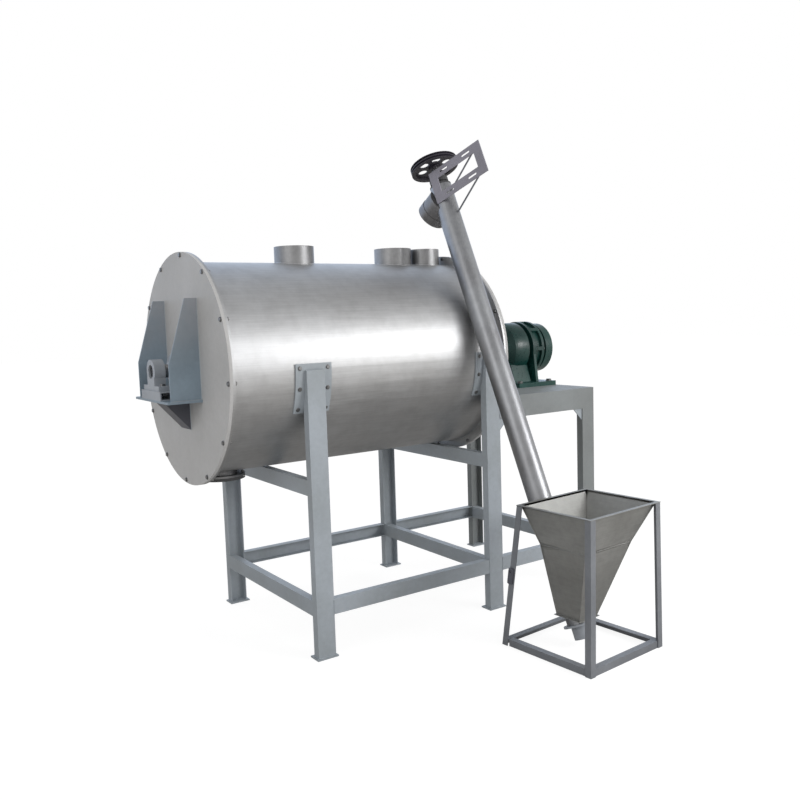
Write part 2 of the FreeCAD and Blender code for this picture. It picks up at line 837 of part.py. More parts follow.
def make_discharge():
    centre = ("outlet_place", "0")
    bore = "outlet_radius - outlet_wall"
    pipe = rod("outlet_pipe", "outlet_radius", "40", (*centre, "gate_top - 1"))
    flange = rod("outlet_flange", "gate_flange_radius", "gate_flange_thickness", (*centre, "gate_top - gate_flange_thickness"))
    opening = rod("outlet_bore", bore, "200", (*centre, "gate_top - 100"))
    curve = rod(
        "outlet_saddle", "drum_radius + seat_gap", "4 * outlet_radius", ("outlet_place - 2 * outlet_radius", "0", "axis_height"), ALONG_X
    )
    solid = cut("outlet_bored", join("outlet_solid", [pipe, flange]), opening)
    shaped = cut("outlet_shaped", solid, curve)
    keep(cut("discharge_neck", shaped, gate_bolt_holes("neck_holes")), "discharge_neck")

    bottom = f"{LOWER_FLANGE_TOP} - gate_flange_thickness"
    slot = "gate_blade_thickness + 2 * gate_blade_gap"
    guide = "outlet_radius + gate_guide"
    disc = rod("gate_disc", "gate_flange_radius", f"gate_flange_thickness + {slot}", (*centre, bottom))
    channel = block(
        "gate_slot",
        (f"2 * ({guide} + gate_blade_gap)", "2 * gate_flange_radius", slot),
        (f"outlet_place - ({guide}) - gate_blade_gap", f"-({guide}) - gate_blade_gap", LOWER_FLANGE_TOP),
    )
    bored = rod("gate_bore", bore, "100", (*centre, f"{bottom} - 20"))
    body = cut("gate_cut", disc, group("gate_tools", [channel, bored]))
    keep(cut("gate_body", body, gate_bolt_holes("gate_holes")), "gate_body")

    middle = f"{LOWER_FLANGE_TOP} + gate_blade_gap + gate_blade_thickness / 2"
    plate = block(
        "blade_plate",
        (f"2 * ({guide})", f"2 * ({guide}) + gate_blade_tail", "gate_blade_thickness"),
        (f"outlet_place - ({guide})", f"-({guide})", f"{LOWER_FLANGE_TOP} + gate_blade_gap"),
    )
    grip = rod(
        "blade_grip",
        "gate_grip_radius",
        "gate_grip_length",
        ("outlet_place - gate_grip_length / 2", f"{guide} + gate_blade_tail", middle),
        ALONG_X,
    )
    keep(join("gate_blade", [plate, grip]), "gate_blade")

    grip_length = 2 * size("gate_flange_thickness") + size("gate_blade_thickness") + 2 * size("gate_blade_gap")
    foot = size("gate_top") - grip_length
    one = bolt(size("gate_bolt_radius"), grip_length)
    reach = size("gate_bolt_reach")
    side = size("gate_bolt_side")
    shapes = [placed(one, Vector(size("outlet_place") + x * reach, y * side, foot)) for x, y in GATE_BOLTS]
    keep(solid_feature("gate_bolts", Part.Compound(shapes)), "gate_bolts")


# The front bearing bracket and both shaft housings.

def make_bracket():
    wings = []
    for side, sign, _, _ in SIDES:
        name = f"bracket_{side}_wing"
        body = new_body(name)
        sketch = new_sketch(body, "XZ_Plane", name + "_outline")
        draw_outline(
            sketch,
            [
                ("0", "0"),
                ("0", "wing_height"),
                ("-wing_top_depth", "wing_height"),
                ("-wing_depth", "wing_straight_height"),
                ("-wing_depth", "0"),
            ],
        )
        pad(body, sketch, "wing_thickness", midplane=True)
        put(body, ("front_face", f"{sign} * (wing_half_spacing - wing_thickness / 2)", "shelf_top"))
        wings.append(body)
    keep(group("bracket_wings", wings), "bracket_wings")
    shelf = block(
        "bearing_shelf",
        ("shelf_depth", "2 * wing_half_spacing + 20", "shelf_thickness"),
        ("front_face - shelf_depth", "-wing_half_spacing - 10", "shelf_top - shelf_thickness"),
    )
    keep(shelf, "bearing_shelf")
    body = new_body("shelf_brace")
    outline = new_sketch(body, "XZ_Plane", "brace_outline")
    draw_outline(outline, [("0", "0"), ("-brace_depth", "0"), ("0", "-brace_height")])
    pad(body, outline, "2 * brace_half_width", midplane=True)
    hollow = new_sketch(body, "XZ_Plane", "brace_hollow")
    draw_outline(hollow, [("1", "1"), ("-brace_depth * 0.94", "1"), ("-brace_depth * 0.94", "0"), ("0", "-brace_height * 0.94"), ("1", "-brace_height * 0.94")])
    inner = body.newObject("PartDesign::Pocket", "Pocket")
    inner.Profile = hollow
    inner.Midplane = True
    bind(inner, {"Length": "2 * brace_half_width - 12"})
    put(body, ("front_face", "0", "shelf_top - shelf_thickness"))
    keep(body, "shelf_brace")
    seat = cut(
        "bearing_seat",
        block(
            "seat_outside",
            ("seat_width", "seat_length", "seat_height"),
            ("bearing_place - seat_width / 2", "-seat_length / 2", "shelf_top"),
        ),
        block(
            "seat_inside",
            ("seat_width - 2 * seat_wall", "2 * seat_length", "seat_height - 2 * seat_wall"),
            ("bearing_place - seat_width / 2 + seat_wall", "-seat_length", "shelf_top + seat_wall"),
        ),
    )
    holes = [
        rod(f"seat_hole_{index}", "bearing_hole_radius", "3 * seat_wall", ("bearing_place", text, "shelf_top + seat_height - 2 * seat_wall"))
        for index, text in enumerate(("-bearing_bolt_spacing / 2", "bearing_bolt_spacing / 2"))
    ]
    keep(cut("bearing_seat_tube", seat, group("seat_holes", holes)), "bearing_seat_tube")


BEARING_DROP = "(axis_height - shelf_top - seat_height)"


def make_bearing_housing(name, place):
    """A foot-mounted plummer block: base, curved shoulders, ring and bore."""
    body = new_body(name)
    base = new_sketch(body, "YZ_Plane", name + "_base")
    half = "bearing_base_length / 2"
    low = f"-{BEARING_DROP}"
    high = f"-{BEARING_DROP} + bearing_base_height"
    draw_outline(
        base,
        [
            (f"-({half})", low),
            (half, low),
            (half, high),
            ("bearing_ring_radius * 0.86", high),
            ("bearing_ring_radius * 0.86", "-bearing_ring_radius * 0.4"),
            ("-bearing_ring_radius * 0.86", "-bearing_ring_radius * 0.4"),
            ("-bearing_ring_radius * 0.86", high),
            (f"-({half})", high),
        ],
    )
    pad(body, base, "bearing_width", midplane=True)
    ring = new_sketch(body, "YZ_Plane", name + "_ring")
    draw_circle(ring, "bearing_ring_radius")
    pad(body, ring, "bearing_width - 4", midplane=True)
    bore = new_sketch(body, "YZ_Plane", name + "_bore")
    draw_circle(bore, "journal_radius + running_gap")
    pocket_through(body, bore)
    holes = new_sketch(body, "XY_Plane", name + "_bolt_holes")
    draw_circle(holes, "bearing_hole_radius", "0", "-bearing_bolt_spacing / 2")
    draw_circle(holes, "bearing_hole_radius", "0", "bearing_bolt_spacing / 2")
    pocket_one_way(body, holes, False)
    put(body, (place, "0", "axis_height"))
    keep(body, name)


def make_pedestal():
    """A welded I-shaped stand that lifts the rear bearing off the drive table."""
    body = new_body("pedestal_body")
    sketch = new_sketch(body, "XZ_Plane", "pedestal_section")
    top = "shelf_top + seat_height - table_top"
    foot = "seat_width * 0.8"
    head = "seat_width / 2"
    draw_outline(
        sketch,
        [
            (f"-({foot})", "0"),
            (foot, "0"),
            (foot, "12"),
            ("8", "12"),
            ("8", f"{top} - 12"),
            (head, f"{top} - 12"),
            (head, top),
            (f"-({head})", top),
            (f"-({head})", f"{top} - 12"),
            ("-8", f"{top} - 12"),
            ("-8", "12"),
            (f"-({foot})", "12"),
        ],
    )
    pad(body, sketch, "seat_length", midplane=True)
    put(body, ("rear_bearing_place", "0", "table_top"))
    holes = [
        rod(f"pedestal_hole_{index}", "bearing_hole_radius", "30", ("rear_bearing_place", text, "shelf_top + seat_height - 24"))
        for index, text in enumerate(("-bearing_bolt_spacing / 2", "bearing_bolt_spacing / 2"))
    ]
    keep(cut("pedestal_drilled", body, group("pedestal_holes", holes)), "rear_bearing_pedestal")


def make_gland(name, face, direction):
    """A packing gland: flange on the end plate and a barrel round the shaft."""
    body = new_body(name)
    profile = new_sketch(body, "XZ_Plane", name + "_profile")
    out = "" if direction > 0 else "-"
    draw_outline(
        profile,
        [
            ("0", "shaft_radius + running_gap"),
            ("0", "gland_flange_radius"),
            (f"{out}gland_flange_thickness", "gland_flange_radius"),
            (f"{out}gland_flange_thickness", "gland_barrel_radius"),
            (f"{out}gland_length * 0.7", "gland_barrel_radius"),
            (f"{out}gland_length * 0.7", "gland_barrel_radius + 12"),
            (f"{out}gland_length", "gland_barrel_radius + 12"),
            (f"{out}gland_length", "shaft_radius + running_gap"),
        ],
    )
    revolve(body, profile)
    put(body, (face, "0", "axis_height"))
    keep(body, name)


def make_bearing_bolts():
    seat = size("shelf_top") + size("seat_height")
    grip = size("bearing_base_height") + size("seat_wall")
    one = bolt(size("bearing_bolt_radius"), grip)
    half = size("bearing_bolt_spacing") / 2
    top = seat + size("bearing_base_height")
    shapes = [
        placed(one, Vector(size("bearing_place"), y, top), Rotation(X_AXIS, 180)) for y in (-half, half)
    ]
    long = bolt(size("bearing_bolt_radius"), size("bearing_base_height") + 12, nut=False)
    shapes += [
        placed(long, Vector(size("rear_bearing_place"), y, top), Rotation(X_AXIS, 180)) for y in (-half, half)
    ]
    keep(solid_feature("bearing_bolts", Part.Compound(shapes)), "bearing_bolts")


# The agitator: shaft, through-arms, two outer and two inner helical ribbons, coupling.

ARM_CLEARANCE = 0.4
SECTION_TURN = 90


def arm_places():
    """Distance along the shaft and turn in degrees of each through-arm."""
    count = int(size("arm_count"))
    middle = size("front_face") + size("drum_length") / 2
    turn = 360 * size("arm_spacing") / size("ribbon_pitch")
    first = size("agitator_turn")
    return [(middle + (i - (count - 1) / 2) * size("arm_spacing"), first + i * turn) for i in range(count)]


def outer_ribbon_radius():
    return size("drum_radius") - size("drum_wall") - size("outer_ribbon_gap")


def make_shaft():
    body = new_body("shaft_body")
    profile = new_sketch(body, "XZ_Plane", "shaft_profile")
    front = "bearing_place - bearing_width / 2 + journal_recess"
    front_step = "front_face - gland_length - 14"
    rear_step = "front_face + drum_length + gland_length + 14"
    draw_outline(
        profile,
        [
            (front, "0"),
            (front, "journal_radius"),
            (front_step, "journal_radius"),
            (front_step, "shaft_radius"),
            (rear_step, "shaft_radius"),
            (rear_step, "journal_radius"),
            ("coupling_place - 2", "journal_radius"),
            ("coupling_place - 2", "0"),
        ],
    )
    revolve(body, profile)
    put(body, ("0", "0", "axis_height"))
    holes = []
    for x, turn in arm_places():
        direction = Vector(0, math.cos(math.radians(turn)), math.sin(math.radians(turn)))
        reach = 2 * size("shaft_radius")
        centre = Vector(x, 0, size("axis_height"))
        holes.append(Part.makeCylinder(size("arm_radius") + size("seat_gap"), 2 * reach, centre - direction * reach, direction))
    keep(cut("main_shaft", body, solid_feature("arm_holes", Part.Compound(holes))), "main_shaft")


def make_arms():
    """Round bars that pass through the shaft and carry a ribbon on both ends."""
    reach = outer_ribbon_radius() - 12
    bars = []
    for x, turn in arm_places():
        direction = Vector(0, math.cos(math.radians(turn)), math.sin(math.radians(turn)))
        centre = Vector(x, 0, size("axis_height"))
        bars.append(Part.makeCylinder(size("arm_radius"), 2 * reach, centre - direction * reach, direction))
    keep(solid_feature("ribbon_arms", Part.Compound(bars)), "ribbon_arms")


def seat_offset(inner_radius):
    """Axial step that lays a ribbon's slanting face against the side of a round arm."""
    slant = math.atan(size("ribbon_pitch") / (2 * math.pi * inner_radius))
    return size("ribbon_thickness") / 2 + (size("arm_radius") + ARM_CLEARANCE) / math.cos(slant)


def make_ribbon(name, outer_radius, width, hand, first_turn, offset):
    """A flat strip swept on a helix about the shaft, as long as the drum allows."""
    body = new_body(name)
    section = new_sketch(body, "XZ_Plane", name + "_section")
    start = "front_face + end_plate_thickness + ribbon_end_gap"
    draw_outline(
        section,
        [
            ("0", outer_radius),
            ("ribbon_thickness", outer_radius),
            ("ribbon_thickness", f"{outer_radius} - {width}"),
            ("0", f"{outer_radius} - {width}"),
        ],
    )
    helix = body.newObject("PartDesign::AdditiveHelix", "Helix")
    helix.Profile = section
    helix.ReferenceAxis = (section, ["H_Axis"])
    helix.Mode = 0
    length = "drum_length - 2 * end_plate_thickness - 2 * ribbon_end_gap - ribbon_thickness"
    bind(helix, {"Pitch": "ribbon_pitch", "Height": length})
    helix.LeftHanded = hand < 0
    front = size("front_face") + size("end_plate_thickness") + size("ribbon_end_gap")
    first_arm, _ = arm_places()[0]
    travelled = 360 * (first_arm + offset - front - size("ribbon_thickness") / 2) / size("ribbon_pitch")
    body.Placement = Placement(Vector(), Rotation(X_AXIS, first_turn - SECTION_TURN - hand * travelled))
    bind(body, {"Placement.Base.x": start, "Placement.Base.z": "axis_height"})
    keep(body, name)


def make_ribbons():
    outer = "(drum_radius - drum_wall - outer_ribbon_gap)"
    outer_step = -seat_offset(outer_ribbon_radius() - size("outer_ribbon_width"))
    inner_step = seat_offset(size("inner_ribbon_radius") - size("inner_ribbon_width"))
    for suffix, half_turn in (("one", 0), ("two", 180)):
        first = size("agitator_turn") + half_turn
        make_ribbon(f"outer_ribbon_{suffix}", outer, "outer_ribbon_width", 1, first, outer_step)
        make_ribbon(f"inner_ribbon_{suffix}", "inner_ribbon_radius", "inner_ribbon_width", -1, first, inner_step)


def make_coupling():
    """A rigid two-flange coupling, one half on each shaft."""
    halves = (("coupling_shaft_half", "-", "journal_radius"), ("coupling_reducer_half", "", "output_shaft_radius"))
    for name, sign, shaft in halves:
        body = new_body(name)
        profile = new_sketch(body, "XZ_Plane", name + "_profile")
        draw_outline(
            profile,
            [
                ("0", f"{shaft} + running_gap"),
                ("0", "coupling_radius + 34"),
                (f"{sign}coupling_flange_thickness", "coupling_radius + 34"),
                (f"{sign}coupling_flange_thickness", "coupling_radius"),
                (f"{sign}coupling_length / 2", "coupling_radius"),
                (f"{sign}coupling_length / 2", f"{shaft} + running_gap"),
            ],
        )
        revolve(body, profile)
        holes = new_sketch(body, "YZ_Plane", name + "_bolt_hole")
        draw_circle(holes, "coupling_bolt_radius + coupling_bolt_clearance", "coupling_radius + 18")
        hole = pocket_through(body, holes)
        ring_of(body, hole, holes, "coupling_bolt_count")
        put(body, ("coupling_place", "0", "axis_height"))
        keep(body, name)
    flange = size("coupling_flange_thickness")
    one = bolt(size("coupling_bolt_radius"), 2 * flange)
    centre = Vector(size("coupling_place") - flange, 0, size("axis_height"))
    points = round_points(centre, size("coupling_radius") + 18, int(size("coupling_bolt_count")))
    bolts = [placed(one, point, pointing(X_AXIS)) for point in points]
    keep(solid_feature("coupling_bolts", Part.Compound(bolts)), "coupling_bolts")


# The cycloidal reducer on the drive table.

BELL_FLANGE = "reducer_bell_radius + 6"
COVER_START = "reducer_bell_end + pin_ring_length"
ADAPTER_START = "reducer_bell_end + pin_ring_length + input_cover_length"
INPUT_FACE = "reducer_bell_end + pin_ring_length + input_cover_length + adapter_length"


def make_reducer_housing():
    """One casting: bell with output boss, pedestal with ribs, and a base with four feet."""
    body = new_body("reducer_casting")
    profile = new_sketch(body, "XZ_Plane", "bell_profile")
    start = "reducer_bell_start"
    end = "reducer_bell_end"
    draw_outline(
        profile,
        [
            (f"{start} - 26", "output_shaft_radius + running_gap"),
            (f"{start} - 26", "output_shaft_radius + 32"),
            (start, "output_shaft_radius + 36"),
            (f"{start} + 4", "reducer_bell_radius * 0.66"),
            (f"{start} + 46", "reducer_bell_radius * 0.95"),
            (f"{start} + 70", "reducer_bell_radius"),
            (f"{end} - 48", "reducer_bell_radius"),
            (f"{end} - 42", "reducer_bell_radius - 30"),
            (f"{end} - 20", "reducer_bell_radius - 30"),
            (f"{end} - 20", BELL_FLANGE),
            (end, BELL_FLANGE),
            (end, "0"),
            (f"{end} - 90", "0"),
            (f"{end} - 90", "output_shaft_radius + running_gap"),
        ],
    )
    revolve(body, profile)
    base = new_sketch(body, "XY_Plane", "reducer_base")
    shift_sketch(base, "table_top - axis_height")
    rear = "reducer_base_start + reducer_base_length"
    half = "reducer_base_width / 2"
    draw_outline(
        base,
        [
            ("reducer_base_start", f"-({half})"),
            (rear, f"-({half})"),
            (rear, half),
            ("reducer_base_start", half),
        ],
    )
    pad(body, base, "reducer_base_thickness")
    pedestal = new_sketch(body, "YZ_Plane", "reducer_pedestal")
    shift_sketch(pedestal, "reducer_bell_start + 24")
    floor = "table_top - axis_height + reducer_base_thickness - 1"
    draw_outline(
        pedestal,
        [
            ("-reducer_bell_radius", floor),
            ("reducer_bell_radius", floor),
            ("reducer_bell_radius * 0.78", "-reducer_bell_radius * 0.58"),
            ("reducer_bell_radius * 0.5", "-output_shaft_radius - 20"),
            ("-reducer_bell_radius * 0.5", "-output_shaft_radius - 20"),
            ("-reducer_bell_radius * 0.78", "-reducer_bell_radius * 0.58"),
        ],
    )
    pad(body, pedestal, "reducer_bell_end - reducer_bell_start - 66")
    wall = new_sketch(body, "YZ_Plane", "reducer_wall")
    shift_sketch(wall, f"{end} - 20")
    draw_outline(
        wall,
        [
            ("-reducer_bell_radius * 1.16", floor),
            ("reducer_bell_radius * 1.16", floor),
            (BELL_FLANGE, "-reducer_bell_radius * 0.2"),
            (f"-({BELL_FLANGE})", "-reducer_bell_radius * 0.2"),
        ],
    )
    pad(body, wall, "20")
    for name, place in (("near", "reducer_bell_radius * 0.72"), ("far", "-reducer_bell_radius * 0.72")):
        rib = new_sketch(body, "XZ_Plane", f"reducer_{name}_rib")
        shift_sketch(rib, f"{place} - 9")
        draw_outline(
            rib,
            [
                (f"{end} - 10", floor),
                (f"{rear} - 34", floor),
                (f"{end} + 4", "-reducer_bell_radius * 0.86"),
                (f"{end} - 10", "-reducer_bell_radius * 0.86"),
            ],
        )
        pad(body, rib, "18")
    feet = new_sketch(body, "XY_Plane", "reducer_feet_holes")
    for x in REDUCER_FOOT_COLUMNS:
        for y in REDUCER_FOOT_ROWS:
            draw_circle(feet, "reducer_foot_hole_radius", x, y)
    pocket_one_way(body, feet, False)
    put(body, ("0", "0", "axis_height"))
    keep(cut("casting_drilled", body, doc.getObject("reducer_bolt_holes")), "reducer_housing")


def make_pin_ring():
    """The ring that holds the pins, with a lug for each through-bolt."""
    body = new_body("pin_ring_body")
    disc = new_sketch(body, "YZ_Plane", "pin_ring_disc")
    draw_circle(disc, "pin_ring_radius")
    pad(body, disc, "pin_ring_length")
    lug = new_sketch(body, "YZ_Plane", "pin_ring_lug")
    draw_outline(
        lug,
        [
            ("pin_ring_radius - 14", "-14"),
            (f"{BELL_FLANGE}", "-12"),
            (f"{BELL_FLANGE}", "12"),
            ("pin_ring_radius - 14", "14"),
        ],
    )
    ear = pad(body, lug, "pin_ring_length")
    ring_of(body, ear, lug, "8")
    put(body, ("reducer_bell_end", "0", "axis_height"))
    keep(cut("pin_ring_drilled", body, doc.getObject("reducer_bolt_holes")), "reducer_pin_ring")


def make_input_cover():
    """Cover flange, neck and motor adapter with its spigot recess and shaft bore."""
    body = new_body("input_cover_body")
    profile = new_sketch(body, "XZ_Plane", "input_cover_profile")
    bore = "input_shaft_radius + running_gap"
    draw_outline(
        profile,
        [
            (COVER_START, "0"),
            (COVER_START, BELL_FLANGE),
            (f"{COVER_START} + 20", BELL_FLANGE),
            (f"{COVER_START} + 20", "reducer_bell_radius - 24"),
            (ADAPTER_START, "reducer_bell_radius - 30"),
            (ADAPTER_START, "adapter_radius"),
            (INPUT_FACE, "adapter_radius"),
            (INPUT_FACE, "adapter_radius * 0.68"),
            (f"{INPUT_FACE} - 6", "adapter_radius * 0.68"),
            (f"{INPUT_FACE} - 6", bore),
            (f"{COVER_START} + 16", bore),
            (f"{COVER_START} + 16", "0"),
        ],
    )
    revolve(body, profile)
    holes = new_sketch(body, "YZ_Plane", "motor_bolt_hole")
    shift_sketch(holes, INPUT_FACE)
    draw_circle(holes, "5.5", "motor_bolt_circle_radius * cos(45)", "motor_bolt_circle_radius * sin(45)")
    hole = body.newObject("PartDesign::Pocket", "Pocket")
    hole.Profile = holes
    bind(hole, {"Length": "30"})
    ring_of(body, hole, holes, "4")
    put(body, ("0", "0", "axis_height"))
    keep(cut("input_cover_drilled", body, doc.getObject("reducer_bolt_holes")), "reducer_input_cover")


def reducer_bolt_points(x):
    radius = size("reducer_bell_radius") - 4
    return round_points(Vector(x, 0, size("axis_height")), radius, 8)


def make_reducer_bolts():
    cover = size("reducer_bell_end") + size("pin_ring_length") + 20
    one = bolt(5, size("pin_ring_length") + 36, nut=False)
    shapes = [placed(one, point, pointing(X_AXIS * -1)) for point in reducer_bolt_points(cover)]
    grip = size("reducer_base_thickness") + size("table_plate_thickness") + size("table_beam_thickness")
    foot = bolt(size("reducer_foot_bolt_radius"), grip)
    half = size("reducer_base_width") / 2 - size("reducer_foot_inset_y")
    top = size("table_top") + size("reducer_base_thickness")
    first = size("reducer_base_start") + size("reducer_foot_inset_x")
    last = size("reducer_base_start") + size("reducer_base_length") - size("reducer_foot_inset_x")
    for x in (first, last):
        for y in (-half, half):
            shapes.append(placed(foot, Vector(x, y, top), Rotation(X_AXIS, 180)))
    keep(solid_feature("reducer_bolts", Part.Compound(shapes)), "reducer_bolts")


def make_reducer():
    start = size("reducer_bell_end") - 19
    radius = size("casing_bolt_hole_radius")
    reach = size("casing_bolt_reach")
    holes = [Part.makeCylinder(radius, reach, point, X_AXIS) for point in reducer_bolt_points(start)]
    solid_feature("reducer_bolt_holes", Part.Compound(holes))
    make_reducer_housing()
    make_pin_ring()
    make_input_cover()
    make_reducer_bolts()
    output = rod(
        "reducer_output_shaft",
        "output_shaft_radius",
        "reducer_bell_end - 92 - coupling_place - 2",
        ("coupling_place + 2", "0", "axis_height"),
        ALONG_X,
    )
    keep(output, "reducer_output_shaft")
    shaft_start = f"{COVER_START} + 18"
    hollow = cut(
        "reducer_input_shaft",
        rod("input_shaft_outside", "input_shaft_radius", f"{INPUT_FACE} - 10 - ({shaft_start})", (shaft_start, "0", "axis_height"), ALONG_X),
        rod("input_shaft_bore", "motor_bore_radius", f"{INPUT_FACE} - 10 - ({shaft_start})", (f"{shaft_start} + 12", "0", "axis_height"), ALONG_X),
    )
    keep(hollow, "reducer_input_shaft")


# The screw feeder. Its own frame stands on the floor under the hopper, turned a little
# about Z; the tube's frame starts at the tail, with Z along the tube.

def feeder_frame():
    base = Vector(size("feeder_place"), -size("feeder_offset"), 0)
    return Placement(base, Rotation(Z_AXIS, size("feeder_turn")))


def tube_frame():
    lean = Rotation(X_AXIS, size("tube_slope") - 90)
    return feeder_frame().multiply(Placement(Vector(0, 0, size("tail_height")), lean))


def tube_rod(radius, start, end):
    return Part.makeCylinder(radius, end - start, Vector(0, 0, start))


def spout_shape(radius, near, far):
    """A cylinder on the spout's axis, from the tube's axis outwards, in the tube's frame."""
    fall = math.radians(size("spout_fall"))
    level = Vector(0, math.cos(fall), -math.sin(fall))
    direction = Rotation(X_AXIS, 90 - size("tube_slope")).multVec(level)
    start = Vector(0, 0, size("spout_station"))
    return Part.makeCylinder(radius, far - near, start + direction * near, direction)


def make_feeder_tube():
    radius = size("tube_radius")
    wall = size("tube_wall")
    pipe = tube_rod(radius, size("tube_start"), size("tube_end"))
    pipe = pipe.cut(tube_rod(radius - wall, size("tube_start") - 1, size("tube_end") + 1))
    pipe = pipe.cut(spout_shape(radius - 14, 0, size("spout_length")))
    half = radius - 16
    window_start = size("tube_window_start")
    window = Part.makeBox(2 * half, radius, size("tube_window_length"), Vector(-half, -radius - 10, window_start))
    pipe = pipe.cut(window)
    keep(solid_feature("feeder_tube", pipe, tube_frame()), "feeder_tube")


SPOUT_SOCKET_STEP = 1.5


def make_spout():
    wall = size("spout_wall")
    radius = size("spout_radius")
    length = size("spout_length")
    start = size("spout_start")
    shell = spout_shape(radius, start, length).cut(spout_shape(radius - wall, start + wall, length + 1))
    shell = shell.cut(tube_rod(size("tube_radius") + size("seat_gap"), 0, size("pulley_station")))
    shell = sorted(shell.Solids, key=lambda solid: solid.Volume)[-1]
    socket_wall = size("spout_socket_wall")
    inner = radius - wall + SPOUT_SOCKET_STEP
    first = length - size("spout_socket_length")
    socket = spout_shape(inner + socket_wall, first, length).cut(spout_shape(inner, first - 1, length + 1))
    shell = shell.cut(spout_shape(inner, first, length + 1))
    shell = shell.fuse(socket).removeSplitter()
    keep(solid_feature("discharge_spout", shell, tube_frame()), "discharge_spout")


def make_feeder_screw():
    """Shaft and helical flight, welded together, with the pulley seat on top."""
    body = new_body("screw_flight")
    section = new_sketch(body, "XZ_Plane", "flight_section")
    draw_outline(
        section,
        [
            ("screw_shaft_radius - 1", "0"),
            ("screw_radius", "0"),
            ("screw_radius", "screw_thickness"),
            ("screw_shaft_radius - 1", "screw_thickness"),
        ],
    )
    helix = body.newObject("PartDesign::AdditiveHelix", "Helix")
    helix.Profile = section
    helix.ReferenceAxis = (section, ["V_Axis"])
    helix.Mode = 0
    bind(helix, {"Pitch": "screw_pitch", "Height": "spout_station - tube_start - 70"})
    put(body, ("0", "0", "tube_start + 30"))
    shaft = rod("screw_shaft", "screw_shaft_radius", "pulley_station + pulley_width + 6 - 26", ("0", "0", "26"))
    screw = join("feeder_screw", [shaft, body])
    screw.Placement = tube_frame()
    keep(screw, "feeder_screw")


def make_pulley():
    """A two-groove V-belt pulley with a drilled web."""
    body = new_body("feeder_pulley")
    profile = new_sketch(body, "XZ_Plane", "pulley_profile")
    rim = "pulley_radius"
    width = "pulley_width"
    draw_outline(
        profile,
        [
            ("screw_shaft_radius + running_gap", "0"),
            ("screw_shaft_radius + 16", "0"),
            ("screw_shaft_radius + 16", f"{width} / 2 - 4"),
            (f"{rim} - 24", f"{width} / 2 - 4"),
            (f"{rim} - 24", "0"),
            (rim, "0"),
            (rim, f"{width} * 0.09"),
            (f"{rim} - 11", f"{width} * 0.19"),
            (f"{rim} - 11", f"{width} * 0.31"),
            (rim, f"{width} * 0.43"),
            (rim, f"{width} * 0.57"),
            (f"{rim} - 11", f"{width} * 0.69"),
            (f"{rim} - 11", f"{width} * 0.81"),
            (rim, f"{width} * 0.91"),
            (rim, width),
            (f"{rim} - 24", width),
            (f"{rim} - 24", f"{width} / 2 + 4"),
            ("screw_shaft_radius + 16", f"{width} / 2 + 4"),
            ("screw_shaft_radius + 16", width),
            ("screw_shaft_radius + running_gap", width),
        ],
    )
    turned = body.newObject("PartDesign::Revolution", "Revolution")
    turned.Profile = profile
    turned.ReferenceAxis = (profile, ["V_Axis"])
    turned.Angle = 360
    hole = new_sketch(body, "XY_Plane", "pulley_hole")
    draw_circle(hole, "pulley_hole_radius", "(pulley_radius + screw_shaft_radius - 8) / 2")
    first = pocket_through(body, hole)
    ring_of(body, first, hole, "6")
    body.Placement = tube_frame().multiply(Placement(Vector(0, 0, size("pulley_station")), UPRIGHT))
    keep(body, "feeder_pulley")


def make_feeder_bearings():
    """The head bearing on the tube's top end and the tail bearing under its flange."""
    radius = size("tube_radius")
    bore = size("screw_shaft_radius") + size("running_gap")
    top = size("tube_end") + size("seat_gap")
    head = tube_rod(radius - 0.5, top, top + 10).fuse(tube_rod(46, top + 10, top + 66)).fuse(tube_rod(54, top + 24, top + 52))
    head = head.cut(tube_rod(bore, top - 1, top + 80))
    keep(solid_feature("head_bearing_housing", head.removeSplitter(), tube_frame()), "head_bearing_housing")
    flange = size("tube_start") - size("seat_gap")
    tail = tube_rod(radius + 20, flange - 10, flange).fuse(tube_rod(48, 22, flange - 10))
    tail = tail.cut(tube_rod(bore, 24, flange + 1))
    keep(solid_feature("tail_bearing_housing", tail.removeSplitter(), tube_frame()), "tail_bearing_housing")


def flag_frame():
    """The motor frame's own axes: X outwards from the tube, Z along it, Y away from the viewer's side."""
    turn = Placement(Vector(), Rotation(Z_AXIS, -size("motor_frame_turn")))
    return tube_frame().multiply(turn)


def make_motor_frame():
    """A flat welded frame beside the tube's head, slotted for a motor's feet."""
    start = size("motor_frame_start")
    height = size("motor_frame_height")
    bar = size("motor_frame_bar")
    left = -size("motor_frame_overhang")
    width = size("motor_frame_width")
    thickness = size("motor_frame_thickness")
    face = -size("tube_radius") - size("seat_gap") - thickness
    plate = Part.makeBox(width, thickness, height, Vector(left, face, start))
    opening = Part.makeBox(width - 2 * bar, 3 * thickness, height - 2 * bar, Vector(left + bar, face - thickness, start + bar))
    plate = plate.cut(opening)
    length = size("motor_slot_length")
    radius = size("motor_slot_width") / 2
    inset = bar + size("motor_slot_inset")
    for z in (start + bar / 2, start + height - bar / 2):
        for x in (left + inset, left + width - inset - length):
            corner = Vector(x + radius, face - thickness, z - radius)
            slot = Part.makeBox(length - 2 * radius, 3 * thickness, 2 * radius, corner)
            for end in (x + radius, x + length - radius):
                slot = slot.fuse(Part.makeCylinder(radius, 3 * thickness, Vector(end, face - thickness, z), Y_AXIS))
            plate = plate.cut(slot)
    keep(solid_feature("motor_frame", plate, flag_frame()), "motor_frame")


